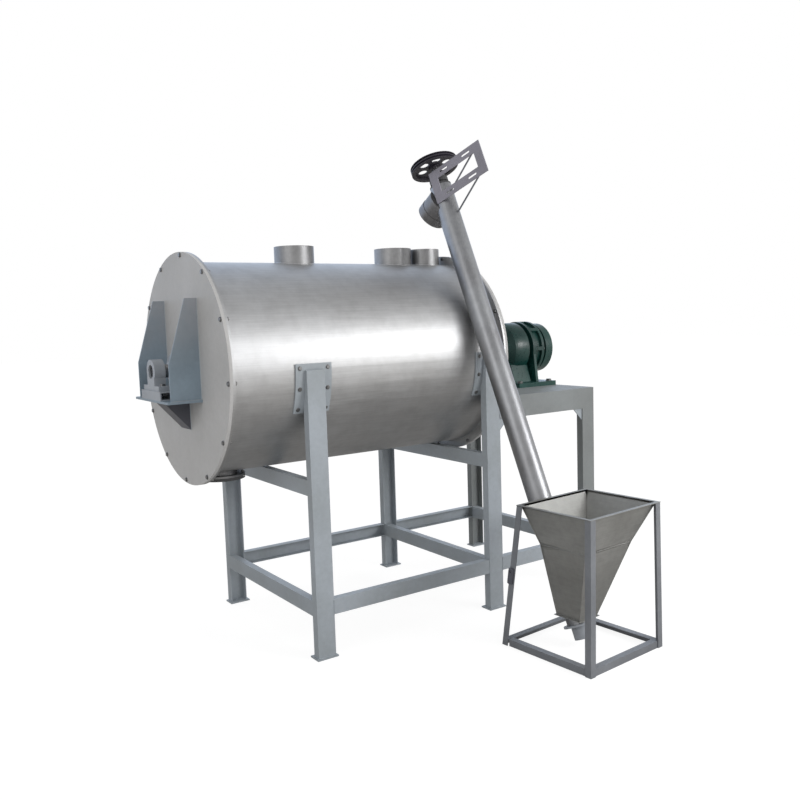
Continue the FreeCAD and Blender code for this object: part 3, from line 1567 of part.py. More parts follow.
def make_frame_struts():
    """Two flat struts from the motor frame's outer end back to the tube."""
    thickness = size("motor_frame_thickness")
    face = -size("tube_radius") - size("seat_gap")
    outer = size("motor_frame_width") - size("motor_frame_overhang") - 40
    room = 2.4 * size("motor_frame_width")
    radius = size("tube_radius")
    shapes = []
    for station in (size("motor_frame_start") + 26, size("motor_frame_start") + size("motor_frame_height") - 26):
        foot = Vector(radius - 6, 0, station - size("strut_drop"))
        tip = Vector(outer, face + thickness / 2 + 3.5, station)
        run = tip - foot
        strut = Part.makeCylinder(size("strut_radius"), run.Length, foot, run)
        strut = strut.cut(tube_rod(radius + size("seat_gap"), 0, size("pulley_station")))
        strut = strut.cut(Part.makeBox(room, room / 15, room, Vector(0, face - room / 15, station - room / 2)))
        shapes += strut.Solids
    keep(solid_feature("motor_frame_struts", Part.Compound(shapes), flag_frame()), "motor_frame_struts")


def tube_centre(height):
    """How far back from the feeder's origin the tube's axis is at a height."""
    return (height - size("tail_height")) / math.tan(math.radians(size("tube_slope")))


def hopper_rings():
    """Left, right, near and far side of the hopper with its height: at the foot, the waist and the rim."""
    half = size("hopper_foot_length") / 2
    reach = size("tube_radius") / math.sin(math.radians(size("tube_slope"))) + size("hopper_foot_gap")
    bottom = size("hopper_bottom")
    middle = tube_centre(bottom)
    foot = (-half, half, middle - reach, middle + reach, bottom)
    centre_x = size("hopper_shift_x")
    centre_y = size("hopper_shift_y")
    half_x = size("hopper_length") / 2
    half_y = size("hopper_width") / 2
    top = size("hopper_top") - size("hopper_lip_thickness")
    rim = (centre_x - half_x, centre_x + half_x, centre_y - half_y, centre_y + half_y, top)
    height = size("hopper_waist")
    share = (height - bottom) / (top - bottom)
    near = foot[2] + (rim[2] - foot[2]) * share
    shift = size("hopper_waist_shift")
    half = size("hopper_waist_length") / 2
    waist = (shift - half, shift + half, near, size("hopper_waist_back"), height)
    return foot, waist, rim


def hopper_form(low, high, insets):
    """The solid between two rings, each side moved in by its own inset."""
    wires = []
    for left, right, near, far, height in (low, high):
        xs = (left + insets[0], right - insets[0])
        ys = (near + insets[1], far - insets[2])
        points = [(xs[0], ys[0]), (xs[1], ys[0]), (xs[1], ys[1]), (xs[0], ys[1]), (xs[0], ys[0])]
        wires.append(Part.makePolygon([Vector(x, y, height) for x, y in points]))
    return Part.makeLoft(wires, True, True)


def hopper_plates(low, high):
    """Four flat plates: the near and far ones from corner to corner, the side ones between them."""
    wall = size("hopper_wall")
    whole = hopper_form(low, high, (0, 0, 0))
    near = whole.cut(hopper_form(low, high, (-1, wall, -1)))
    far = whole.cut(hopper_form(low, high, (-1, -1, wall)))
    sides = hopper_form(low, high, (0, wall, wall)).cut(hopper_form(low, high, (wall, 0, 0)))
    return near.Solids + far.Solids + sides.Solids


def flat_ring(outer, inner, bottom, thickness):
    """Four flat strips round an opening; each box is given as left, right, near and far."""
    left, right, near, far = outer
    in_left, in_right, in_near, in_far = inner
    return [
        Part.makeBox(right - left, in_near - near, thickness, Vector(left, near, bottom)),
        Part.makeBox(right - left, far - in_far, thickness, Vector(left, in_far, bottom)),
        Part.makeBox(in_left - left, in_far - in_near, thickness, Vector(left, in_near, bottom)),
        Part.makeBox(right - in_right, in_far - in_near, thickness, Vector(in_right, in_near, bottom)),
    ]


def make_hopper():
    """Folded plates in two tiers, a flat rim, and a foot flange that closes round the tube."""
    wall = size("hopper_wall")
    foot, waist, rim = hopper_rings()
    lip = size("hopper_lip")
    inside = (rim[0] + wall, rim[1] - wall, rim[2] + wall, rim[3] - wall)
    outside = (rim[0] - lip, rim[1] + lip, rim[2] - lip, rim[3] + lip)
    pieces = hopper_plates(foot, waist) + hopper_plates(waist, rim)
    pieces += flat_ring(outside, inside, rim[4], size("hopper_lip_thickness"))
    edge = size("hopper_foot_lip")
    thickness = size("hopper_lip_thickness")
    flange = Part.makeBox(
        foot[1] - foot[0] + 2 * edge,
        foot[3] - foot[2] + 2 * edge,
        thickness,
        Vector(foot[0] - edge, foot[2] - edge, foot[4] - thickness),
    )
    tool = tube_rod(size("tube_radius") + size("seat_gap"), 0, size("tube_end") / 2)
    tool.Placement = feeder_frame().inverse().multiply(tube_frame())
    shapes = []
    for piece in pieces + [flange]:
        shapes += piece.cut(tool).Solids
    keep(solid_feature("feeder_hopper", Part.Compound(shapes), feeder_frame()), "feeder_hopper")


def angle_bar(side, wall, start, end, inward):
    """An angle iron between two points, its corner on the line and its legs inwards."""
    run = end - start
    corner = Part.makePolygon(
        [
            Vector(0, 0, 0),
            Vector(side * inward[0], 0, 0),
            Vector(side * inward[0], wall * inward[1], 0),
            Vector(wall * inward[0], wall * inward[1], 0),
            Vector(wall * inward[0], side * inward[1], 0),
            Vector(0, side * inward[1], 0),
            Vector(0, 0, 0),
        ]
    )
    return Part.Face(corner).extrude(run).translated(start)


def make_stand():
    """Four splayed angle legs under the hopper's rim and four rails round their feet."""
    rim = hopper_rings()[2]
    edge = size("hopper_lip") - 2
    heads = ((rim[0] - edge, rim[1] + edge), (rim[2] - edge, rim[3] + edge))
    centres = (size("stand_shift_x"), size("stand_shift_y"))
    halves = (size("stand_length") / 2, size("stand_width") / 2)
    feet = [(centre - half, centre + half) for centre, half in zip(centres, halves)]
    side = size("stand_bar")
    wall = size("stand_wall")
    top = rim[4]
    pieces = []
    for i, sx in enumerate((-1, 1)):
        for j, sy in enumerate((-1, 1)):
            foot = Vector(feet[0][i], feet[1][j], 0)
            head = Vector(heads[0][i], heads[1][j], top)
            pieces.append(angle_bar(side, wall, foot, head, (-sx, -sy)))
    slack = wall + size("seat_gap")
    bounds = []
    for foot_pair, head_pair in zip(feet, heads):
        lean = [(head - foot) * side / top for foot, head in zip(foot_pair, head_pair)]
        bounds.append((foot_pair[0] + max(lean[0], 0) + slack, foot_pair[1] + min(lean[1], 0) - slack))
    (left, right), (near, far) = bounds
    for y, shelf_y in ((near, near), (far - wall, far - side)):
        web = Part.makeBox(right - left, wall, side, Vector(left, y, 0))
        shelf = Part.makeBox(right - left, side, wall, Vector(left, shelf_y, side - wall))
        pieces.append(web.fuse(shelf).removeSplitter())
    span = far - near - 2 * side
    for x, shelf_x in ((left, left), (right - wall, right - side)):
        web = Part.makeBox(wall, span, side, Vector(x, near + side, 0))
        shelf = Part.makeBox(side, span, wall, Vector(shelf_x, near + side, side - wall))
        pieces.append(web.fuse(shelf).removeSplitter())
    keep(solid_feature("hopper_stand", Part.Compound(pieces), feeder_frame()), "hopper_stand")


def build():
    make_legs()
    make_foot_plates()
    make_rails()
    make_drive_table()
    make_gussets()
    make_drum_shell()
    make_end_plate("front_end_plate", "front_face")
    make_end_plate("rear_end_plate", "front_face + drum_length - end_plate_thickness")
    make_end_plate_bolts()
    make_neck("front_inlet_neck", "large_neck_radius", "front_neck_place")
    make_neck("middle_inlet_neck", "large_neck_radius", "middle_neck_place")
    make_neck("rear_inlet_neck", "rear_neck_radius", "rear_neck_place")
    make_saddle_pads()
    make_discharge()
    make_bracket()
    make_bearing_housing("front_bearing_housing", "bearing_place")
    make_bearing_housing("rear_bearing_housing", "rear_bearing_place")
    make_pedestal()
    make_gland("front_gland", "front_face", -1)
    make_gland("rear_gland", "front_face + drum_length", 1)
    make_bearing_bolts()
    make_shaft()
    make_arms()
    make_ribbons()
    make_coupling()
    make_reducer()
    make_feeder_tube()
    make_spout()
    make_feeder_screw()
    make_pulley()
    make_feeder_bearings()
    make_motor_frame()
    make_frame_struts()
    make_hopper()
    make_stand()


build()
doc.recompute()

for item in doc.Objects:
    if "Invalid" in item.State or "Error" in item.State:
        raise RuntimeError(f"{item.Name} failed: {item.State}")
for node in nodes:
    if node.Shape.isNull() or not node.Shape.isValid():
        raise RuntimeError(f"{node.Label} has no valid shape")

for node in nodes:
    node.Shape.exportStep(f"parts/{node.Label}.step")
print(len(nodes), "nodes")
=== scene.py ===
import bpy
import bmesh
import math
from mathutils import Matrix, Vector


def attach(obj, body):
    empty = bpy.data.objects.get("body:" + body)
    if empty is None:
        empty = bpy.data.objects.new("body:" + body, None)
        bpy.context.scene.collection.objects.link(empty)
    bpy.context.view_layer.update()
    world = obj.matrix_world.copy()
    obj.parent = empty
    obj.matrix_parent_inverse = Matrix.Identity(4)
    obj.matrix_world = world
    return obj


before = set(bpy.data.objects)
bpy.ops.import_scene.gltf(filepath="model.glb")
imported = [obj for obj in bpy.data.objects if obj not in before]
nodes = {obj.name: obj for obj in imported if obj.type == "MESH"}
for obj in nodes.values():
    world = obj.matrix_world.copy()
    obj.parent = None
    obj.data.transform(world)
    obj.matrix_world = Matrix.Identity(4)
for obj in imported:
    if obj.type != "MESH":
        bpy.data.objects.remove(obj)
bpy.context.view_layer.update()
scene = bpy.context.scene
scene.view_settings.view_transform = "Standard"
print("frame loaded,", len(nodes), "nodes")

# camera, placed where the photograph was taken from, with its angles in degrees
camera = {"place": (-2.5244, -4.1481, 1.7160), "yaw": 34.44, "pitch": -5.74, "roll": -1.84,
          "lens": 37.19, "sensor": 36}


def makeCamera(c):
    yaw, pitch, roll = (math.radians(c[key]) for key in ("yaw", "pitch", "roll"))
    forward = Vector((math.sin(yaw) * math.cos(pitch), math.cos(yaw) * math.cos(pitch), math.sin(pitch)))
    level = Vector((math.cos(yaw), -math.sin(yaw), 0))
    up = level.cross(forward)
    right = level * math.cos(roll) + up * math.sin(roll)
    top = up * math.cos(roll) - level * math.sin(roll)
    lens = bpy.data.cameras.new("camera")
    lens.lens = c["lens"]
    lens.sensor_width = c["sensor"]
    eye = bpy.data.objects.new("camera", lens)
    turn = Matrix((right, top, -forward)).transposed().to_4x4()
    eye.matrix_world = Matrix.Translation(c["place"]) @ turn
    scene.collection.objects.link(eye)
    scene.camera = eye


makeCamera(camera)
print("camera set")


# one shader or geometry node, with its inputs linked or set
def addNode(tree, kind, inputs=None, **settings):
    node = tree.nodes.new(kind)
    for key, value in settings.items():
        setattr(node, key, value)
    for key, value in (inputs or {}).items():
        if isinstance(value, bpy.types.NodeSocket):
            tree.links.new(value, node.inputs[key])
        else:
            node.inputs[key].default_value = value
    return node


# stops are pairs of a place on the ramp and a grey or a colour
def ramp(tree, factor, stops):
    node = addNode(tree, "ShaderNodeValToRGB", {"Fac": factor})
    marks = node.color_ramp.elements
    while len(marks) < len(stops):
        marks.new(0.5)
    for mark, (place, tone) in zip(marks, stops):
        mark.position = place
        mark.color = (*tone, 1) if isinstance(tone, tuple) else (tone, tone, tone, 1)
    return node.outputs["Color"]


mixSockets = {"factor": 0, "first": 6, "second": 7, "result": 2}  # the colour sockets of a Mix node


def blendColours(tree, factor, first, second, mode="MIX"):
    node = addNode(tree, "ShaderNodeMix", data_type="RGBA", blend_type=mode)
    for key, value in (("factor", factor), ("first", first), ("second", second)):
        socket = node.inputs[mixSockets[key]]
        if isinstance(value, bpy.types.NodeSocket):
            tree.links.new(value, socket)
        else:
            socket.default_value = value if key == "factor" else (*value, 1)
    return node.outputs[mixSockets["result"]]


def remap(tree, value, low, high, fromLow=0.0, fromHigh=1.0):
    wanted = {"Value": value, "From Min": fromLow, "From Max": fromHigh, "To Min": low, "To Max": high}
    return addNode(tree, "ShaderNodeMapRange", wanted).outputs["Result"]


def noise(tree, place, scale, detail, rough):
    wanted = {"Vector": place, "Scale": scale, "Detail": detail, "Roughness": rough}
    return addNode(tree, "ShaderNodeTexNoise", wanted).outputs["Fac"]


def calculate(tree, operation, first, second):
    return addNode(tree, "ShaderNodeMath", {0: first, 1: second}, operation=operation).outputs[0]


def startMaterial(name):
    material = bpy.data.materials.new(name)
    material.use_nodes = True
    tree = material.node_tree
    tree.nodes.clear()
    shader = addNode(tree, "ShaderNodeBsdfPrincipled")
    addNode(tree, "ShaderNodeOutputMaterial", {"Surface": shader.outputs["BSDF"]})
    place = addNode(tree, "ShaderNodeTexCoord").outputs["Object"]
    return material, tree, shader, place


def linkSurface(tree, shader, base, rough, height, strength, depth):
    tree.links.new(base, shader.inputs["Base Color"])
    tree.links.new(rough, shader.inputs["Roughness"])
    bump = addNode(tree, "ShaderNodeBump", {"Height": height, "Strength": strength, "Distance": depth})
    tree.links.new(bump.outputs["Normal"], shader.inputs["Normal"])


# brushed steel: grain is how fine the lines are along X, Y and Z, stains is how fine the stains are
def stainless(name, light, dark, grain, roughness, stains, metallic=1.0):
    material, tree, shader, place = startMaterial(name)
    shader.inputs["Metallic"].default_value = metallic
    stretched = addNode(tree, "ShaderNodeMapping", {"Vector": place, "Scale": grain}).outputs["Vector"]
    lines = noise(tree, stretched, scale=1.0, detail=4.0, rough=0.6)
    broad = noise(tree, place, scale=stains, detail=5.0, rough=0.55)
    spots = noise(tree, place, scale=stains * 9, detail=4.0, rough=0.6)
    stained = ramp(tree, broad, ((0.3, dark), (0.68, light)))
    brushed = ramp(tree, lines, ((0.3, 0.86), (0.7, 1.0)))
    smudged = ramp(tree, spots, ((0.32, 0.88), (0.6, 1.0)))
    base = blendColours(tree, 1.0, stained, brushed, "MULTIPLY")
    base = blendColours(tree, 0.8, base, smudged, "MULTIPLY")
    rough = remap(tree, calculate(tree, "ADD", lines, broad), *roughness, fromLow=0.7, fromHigh=1.4)
    linkSurface(tree, shader, base, rough, lines, strength=0.12, depth=0.0006)
    return material


# worn paint: it chips where the wear passes chips, and peel is how much its skin stands out
def paint(name, fresh, dusty, chip, roughness, chips, peel=0.15):
    material, tree, shader, place = startMaterial(name)
    broad = noise(tree, place, scale=3.1, detail=4.0, rough=0.55)
    fine = noise(tree, place, scale=48.0, detail=4.0, rough=0.6)
    wear = noise(tree, place, scale=21.0, detail=6.0, rough=0.68)
    grit = noise(tree, place, scale=420.0, detail=2.0, rough=0.5)
    faded = ramp(tree, broad, ((0.32, dusty), (0.66, fresh)))
    mottle = ramp(tree, fine, ((0.25, 0.9), (0.7, 1.0)))
    worn = ramp(tree, wear, ((chips, 0.0), (chips + 0.03, 1.0)))
    base = blendColours(tree, 1.0, faded, mottle, "MULTIPLY")
    base = blendColours(tree, worn, base, chip)
    rough = remap(tree, fine, *roughness, fromLow=0.3, fromHigh=0.7)
    height = calculate(tree, "SUBTRACT", grit, worn)
    linkSurface(tree, shader, base, rough, height, strength=peel, depth=0.0005)
    return material


steels = {
    "shell": {"name": "shellSteel", "light": (0.63, 0.635, 0.645), "dark": (0.53, 0.53, 0.53),
              "grain": (5, 190, 190), "roughness": (0.42, 0.54), "stains": 1.7},
    "neck": {"name": "neckSteel", "light": (0.345, 0.345, 0.35), "dark": (0.235, 0.235, 0.24),
             "grain": (90, 90, 8), "roughness": (0.38, 0.52), "stains": 6.0},
    "tube": {"name": "tubeSteel", "light": (0.38, 0.39, 0.405), "dark": (0.27, 0.27, 0.28),
             "grain": (150, 150, 7), "roughness": (0.35, 0.48), "stains": 3.0},
    # the spout's steel is a darker copy of the steel: painted shade on its underside near the tube
    "spout": {"name": "spoutShadedSteel", "light": (0.29, 0.285, 0.29), "dark": (0.15, 0.145, 0.14),
              "grain": (120, 120, 9), "roughness": (0.38, 0.52), "stains": 6.0, "metallic": 0.9},
    "hopper": {"name": "hopperSteel", "light": (0.45, 0.45, 0.435), "dark": (0.35, 0.35, 0.335),
               "grain": (8, 8, 160), "roughness": (0.46, 0.60), "stains": 3.4, "metallic": 0.65},
    "ribbon": {"name": "ribbonSteel", "light": (0.60, 0.61, 0.62), "dark": (0.47, 0.47, 0.47),
               "grain": (60, 60, 60), "roughness": (0.30, 0.45), "stains": 5.0},
    "turned": {"name": "turnedSteel", "light": (0.52, 0.52, 0.53), "dark": (0.38, 0.38, 0.38),
               "grain": (420, 12, 12), "roughness": (0.22, 0.34), "stains": 9.0},
    "shaft": {"name": "shaftSteel", "light": (0.52, 0.52, 0.53), "dark": (0.38, 0.38, 0.38),
              "grain": (420, 12, 12), "roughness": (0.22, 0.34), "stains": 9.0},
    "fastener": {"name": "zincBolts", "light": (0.30, 0.30, 0.30), "dark": (0.18, 0.18, 0.18),
                 "grain": (60, 60, 60), "roughness": (0.34, 0.48), "stains": 40.0},
}
paints = {
    "plate": {"name": "platePaint", "fresh": (0.61, 0.605, 0.60), "dusty": (0.545, 0.54, 0.53),
              "chip": (0.30, 0.22, 0.16), "roughness": (0.46, 0.62), "chips": 0.80, "peel": 0.1},
    "frame": {"name": "framePaint", "fresh": (0.455, 0.50, 0.545), "dusty": (0.39, 0.428, 0.455),
              "chip": (0.17, 0.12, 0.09), "roughness": (0.38, 0.55), "chips": 0.74},
    "table": {"name": "tablePaint", "fresh": (0.285, 0.305, 0.31), "dusty": (0.235, 0.25, 0.25),
              "chip": (0.13, 0.09, 0.07), "roughness": (0.42, 0.58), "chips": 0.74},
    "bracket": {"name": "bracketPaint", "fresh": (0.32, 0.41, 0.49), "dusty": (0.24, 0.305, 0.36),
                "chip": (0.09, 0.07, 0.06), "roughness": (0.36, 0.52), "chips": 0.74},
    # the brace and the stand's lug get a much darker copy of the frame's paint: painted shade, for the shade
    # under the shelf and on the lug's side of the stand
    "brace": {"name": "braceShadePaint", "fresh": (0.125, 0.13, 0.155), "dusty": (0.088, 0.09, 0.108),
              "chip": (0.05, 0.04, 0.035), "roughness": (0.42, 0.56), "chips": 0.74},
    "bearing": {"name": "bearingPaint", "fresh": (0.47, 0.50, 0.54), "dusty": (0.34, 0.365, 0.40),
                "chip": (0.10, 0.08, 0.07), "roughness": (0.35, 0.5), "chips": 0.72},
    "cast": {"name": "castIron", "fresh": (0.095, 0.097, 0.10), "dusty": (0.055, 0.055, 0.057),
             "chip": (0.16, 0.09, 0.05), "roughness": (0.5, 0.7), "chips": 0.70, "peel": 0.5},
    "green": {"name": "greenEnamel", "fresh": (0.014, 0.082, 0.068), "dusty": (0.006, 0.034, 0.030),
              "chip": (0.06, 0.06, 0.06), "roughness": (0.24, 0.38), "chips": 0.74},
    "pulley": {"name": "blackEnamel", "fresh": (0.040, 0.036, 0.052), "dusty": (0.030, 0.027, 0.034),
               "chip": (0.10, 0.09, 0.09), "roughness": (0.38, 0.52), "chips": 0.72, "peel": 0.3},
    "stand": {"name": "standPaint", "fresh": (0.27, 0.285, 0.31), "dusty": (0.20, 0.21, 0.23),
              "chip": (0.12, 0.09, 0.08), "roughness": (0.36, 0.52), "chips": 0.72},
    "head": {"name": "headPaint", "fresh": (0.37, 0.355, 0.41), "dusty": (0.29, 0.28, 0.32),
             "chip": (0.14, 0.10, 0.08), "roughness": (0.36, 0.52), "chips": 0.72},
}
finishes = {key: stainless(**look) for key, look in steels.items()}
finishes.update({key: paint(**look) for key, look in paints.items()})


# what a finish shows so far, and where a point of it lies, so that painted shade, and dust with painted
# light, can go over it
def openFinish(material):
    tree = material.node_tree
    shader = next(node for node in tree.nodes if node.type == "BSDF_PRINCIPLED")
    shown = shader.inputs["Base Color"].links[0].from_socket
    place = addNode(tree, "ShaderNodeTexCoord").outputs["Object"]
    along = addNode(tree, "ShaderNodeSeparateXYZ", {"Vector": place}).outputs
    return tree, shader, shown, place, along


# the shaft's end inside the front bearing is painted near black and dull: painted shade for the dark bore
# around it
boreShade = {"end": -1.145, "fade": 0.02, "colour": (0.012, 0.012, 0.014), "metallic": 0.1}


def shadeShaftEnd(material, g):
    tree, shader, steel, _, along = openFinish(material)
    inBoreShade = remap(tree, along["X"], 1.0, 0.0, g["end"], g["end"] + g["fade"])
    tree.links.new(blendColours(tree, inBoreShade, steel, g["colour"]), shader.inputs["Base Color"])
    tree.links.new(remap(tree, inBoreShade, 1.0, g["metallic"]), shader.inputs["Metallic"])


# the upper half of the bracket's wings is painted lighter and greyer towards the top, in patches: partly
# dust, partly painted light where the light falls on their tops
dustAndLightOnTop = {"low": 1.50, "high": 1.84, "amount": 0.75, "colour": (0.46, 0.465, 0.49), "patchScale": 9.0}


def paintDustAndLightOnTop(material, d):
    tree, shader, painted, place, along = openFinish(material)
    rise = remap(tree, along["Z"], 0.0, d["amount"], d["low"], d["high"])
    patches = noise(tree, place, scale=d["patchScale"], detail=4.0, rough=0.6)
    patchy = remap(tree, patches, 0.55, 1.0, fromLow=0.35, fromHigh=0.6)
    cover = calculate(tree, "MULTIPLY", rise, patchy)
    tree.links.new(blendColours(tree, cover, painted, d["colour"]), shader.inputs["Base Color"])


shadeShaftEnd(finishes["shaft"], boreShade)
paintDustAndLightOnTop(finishes["bracket"], dustAndLightOnTop)
print("finishes made")

finishOf = {
    "shell": ["drum_shell"],
    "neck": ["front_inlet_neck", "middle_inlet_neck", "rear_inlet_neck", "discharge_neck"],
    "tube": ["feeder_tube"],
    "spout": ["discharge_spout"],
    "hopper": ["feeder_hopper", "gate_blade"],
    "ribbon": ["ribbon_arms", "outer_ribbon_one", "outer_ribbon_two", "inner_ribbon_one", "inner_ribbon_two"],
    "shaft": ["main_shaft"],
    "turned": ["reducer_output_shaft", "reducer_input_shaft", "coupling_shaft_half",
               "coupling_reducer_half", "feeder_screw"],
    "fastener": ["end_plate_bolts", "saddle_bolts", "gate_bolts", "bearing_bolts", "reducer_bolts",
                 "coupling_bolts"],
    "plate": ["front_end_plate", "rear_end_plate"],
    "frame": ["front_near_leg", "front_far_leg", "middle_near_leg", "middle_far_leg", "foot_plates",
              "side_rails", "cross_rails", "saddle_pads", "frame_gussets"],
    "table": ["drive_legs", "table_side_beams", "table_cross_beams", "drive_table_plate",
              "rear_bearing_pedestal"],
    "bracket": ["bracket_wings", "bearing_shelf"],
    "brace": ["shelf_brace"],
    "bearing": ["bearing_seat_tube", "front_bearing_housing", "rear_bearing_housing", "front_gland",
                "rear_gland", "tail_bearing_housing"],
    # the head bearing housing takes the dark cast finish: partly its own dark iron, partly painted shade for
    # the dark inside the motor frame's opening
    "cast": ["gate_body", "head_bearing_housing"],
    "green": ["reducer_housing", "reducer_pin_ring", "reducer_input_cover"],
    "pulley": ["feeder_pulley"],
    "stand": ["hopper_stand", "motor_frame_struts"],
    "head": ["motor_frame"],
}
dressed = set()
for finish, members in finishOf.items():
    for name in members:
        nodes[name].material_slots[0].material = finishes[finish]
        dressed.add(name)
print("dressed", len(dressed), "nodes; left:", sorted(set(nodes) - dressed))


def newGroup(name, sockets=()):
    group = bpy.data.node_groups.new(name, "GeometryNodeTree")
    group.interface.new_socket("Geometry", in_out="INPUT", socket_type="NodeSocketGeometry")
    group.interface.new_socket("Geometry", in_out="OUTPUT", socket_type="NodeSocketGeometry")
    for label, kind in sockets:
        group.interface.new_socket(label, in_out="INPUT", socket_type=kind)
    return group, addNode(group, "NodeGroupInput").outputs


# curved steel shades smoothly up to its real edges, which bend by more than this many degrees
smoothing = {"edgeAngle": 26, "mergeGap": 0.00002}


def makeSmoothing(s):
    group, start = newGroup("smoothEdges")
    merged = addNode(group, "GeometryNodeMergeByDistance",
                     {"Geometry": start["Geometry"], "Distance": s["mergeGap"]})
    bend = addNode(group, "GeometryNodeInputMeshEdgeAngle").outputs["Unsigned Angle"]
    sharp = addNode(group, "FunctionNodeCompare", {0: bend, 1: math.radians(s["edgeAngle"])},
                    data_type="FLOAT", operation="GREATER_THAN")
    normals = addNode(group, "GeometryNodeSetMeshNormal",
                      {"Mesh": merged.outputs[0], "Remove Custom": True, "Face Sharpness": False},
                      mode="SHARPNESS")
    group.links.new(sharp.outputs[0], normals.inputs["Edge Sharpness"])
    addNode(group, "NodeGroupOutput", {0: normals.outputs[0]})
    return group


smoothEdges = makeSmoothing(smoothing)
for name in nodes:
    modifier = nodes[name].modifiers.new("smooth", "NODES")
    modifier.node_group = smoothEdges
print("edges smoothed")


# welds, washers and the lug on the stand ride on the frame
def finishGroup(group, geometry, material):
    solid = addNode(group, "GeometryNodeRealizeInstances", {"Geometry": geometry})
    painted = addNode(group, "GeometryNodeSetMaterial", {"Geometry": solid.outputs[0], "Material": material})
    addNode(group, "NodeGroupOutput", {0: painted.outputs[0]})


bead = {"step": 0.007, "sides": 7, "lumpScale": 130.0, "lumpDetail": 2.0}


def makeBeadGroup(b):
    group, start = newGroup("weldBead", (
        ("Radius", "NodeSocketFloat"),
        ("Ripple", "NodeSocketFloat"),
        ("Seed", "NodeSocketFloat"),
        ("Material", "NodeSocketMaterial"),
    ))
    path = addNode(group, "GeometryNodeResampleCurve", {"Curve": start["Geometry"], "Length": b["step"]},
                   mode="LENGTH")
    profile = addNode(group, "GeometryNodeCurvePrimitiveCircle",
                      {"Resolution": b["sides"], "Radius": start["Radius"]})
    swept = addNode(group, "GeometryNodeCurveToMesh",
                    {"Curve": path.outputs[0], "Profile Curve": profile.outputs[0], "Fill Caps": True})
    lumps = addNode(group, "ShaderNodeTexNoise",
                    {"W": start["Seed"], "Scale": b["lumpScale"], "Detail": b["lumpDetail"]},
                    noise_dimensions="4D")
    level = calculate(group, "SUBTRACT", lumps.outputs["Fac"], 0.5)
    height = calculate(group, "MULTIPLY", level, start["Ripple"])
    outwards = addNode(group, "GeometryNodeInputNormal").outputs[0]
    away = addNode(group, "ShaderNodeVectorMath", {0: outwards, "Scale": height}, operation="SCALE")
    moved = addNode(group, "GeometryNodeSetPosition",
                    {"Geometry": swept.outputs[0], "Offset": away.outputs[0]})
    smooth = addNode(group, "GeometryNodeSetShadeSmooth", {"Geometry": moved.outputs[0]})
    finishGroup(group, smooth.outputs[0], start["Material"])
    return group


washerSides = 28


def makeWasherGroup():
    group, start = newGroup("washers", (
        ("Inner Radius", "NodeSocketFloat"),
        ("Width", "NodeSocketFloat"),
        ("Thickness", "NodeSocketFloat"),
        ("Material", "NodeSocketMaterial"),
    ))
    middle = addNode(group, "ShaderNodeMath", {0: start["Width"], 1: 0.5, 2: start["Inner Radius"]},
                     operation="MULTIPLY_ADD")
    ring = addNode(group, "GeometryNodeCurvePrimitiveCircle",
                   {"Resolution": washerSides, "Radius": middle.outputs[0]})
    edge = addNode(group, "GeometryNodeCurvePrimitiveQuadrilateral",
                   {"Width": start["Width"], "Height": start["Thickness"]})
    washer = addNode(group, "GeometryNodeCurveToMesh",
                     {"Curve": ring.outputs[0], "Profile Curve": edge.outputs[0]})
    facing = addNode(group, "GeometryNodeInputNamedAttribute", {"Name": "facing"}, data_type="FLOAT_VECTOR")
    turn = addNode(group, "FunctionNodeAlignRotationToVector", {"Vector": facing.outputs[0]}, axis="Z")
    spread = addNode(group, "GeometryNodeInstanceOnPoints", {
        "Points": start["Geometry"], "Instance": washer.outputs[0], "Rotation": turn.outputs[0]})
    finishGroup(group, spread.outputs[0], start["Material"])
    return group


def grow(name, source, group, settings, body):
    modifier = source.modifiers.new(group.name, "NODES")
    modifier.node_group = group
    for item in group.interface.items_tree:
        if item.in_out == "INPUT" and item.name in settings:
            modifier[item.identifier] = settings[item.name]
    scene.collection.objects.link(source)
    bpy.context.view_layer.update()
    shaped = source.evaluated_get(bpy.context.evaluated_depsgraph_get())
    mesh = bpy.data.meshes.new_from_object(shaped)
    bpy.data.objects.remove(source)
    mesh.name = name
    piece = bpy.data.objects.new(name, mesh)
    scene.collection.objects.link(piece)
    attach(piece, body)
    return piece


# paths are pairs of a list of points and whether it closes
def curveObject(name, paths):
    curve = bpy.data.curves.new(name, "CURVE")
    curve.dimensions = "3D"
    for points, closed in paths:
        spline = curve.splines.new("POLY")
        spline.points.add(len(points) - 1)
        spline.use_cyclic_u = closed
        for target, point in zip(spline.points, points):
            target.co = (*point, 1)
    return bpy.data.objects.new(name, curve)


# places are pairs of a point and the way that its washer faces
def pointObject(name, places):
    mesh = bpy.data.meshes.new(name)
    mesh.from_pydata([place for place, _ in places], [], [])
    facing = mesh.attributes.new("facing", "FLOAT_VECTOR", "POINT")
    for target, (_, way) in zip(facing.data, places):
        target.vector = way
    return bpy.data.objects.new(name, mesh)


drum = {"axis": 1.48, "radius": 0.55, "front": -1.03, "rear": 0.67, "plate": 0.016, "flange": 0.012}
# each neck has its place along the drum, its radius, and 1 for above or -1 for below
drumSeams = {
    "necks": ((-0.361, 0.1105, 1), (0.300, 0.1105, 1), (0.528, 0.0955, 1), (-0.854, 0.0845, -1)),
    "neckSteps": 72,
    "rimSteps": 144,
}
drumBead = {"Radius": 0.0034, "Ripple": 0.0024, "Seed": 3.0, "Material": finishes["ribbon"]}


def circle(count, start=0.0):
    return [start + math.tau * i / count for i in range(count)]


def saddlePath(place, radius, sign):
    points = []
    for turn in circle(drumSeams["neckSteps"]):
        x = place + radius * math.cos(turn)
        y = radius * math.sin(turn)
        points.append((x, y, drum["axis"] + sign * math.sqrt(drum["radius"] ** 2 - y * y)))
    return points, True


def hoopPath(x):
    points = []
    for turn in circle(drumSeams["rimSteps"]):
        points.append((x, drum["radius"] * math.cos(turn), drum["axis"] + drum["radius"] * math.sin(turn)))
    return points, True


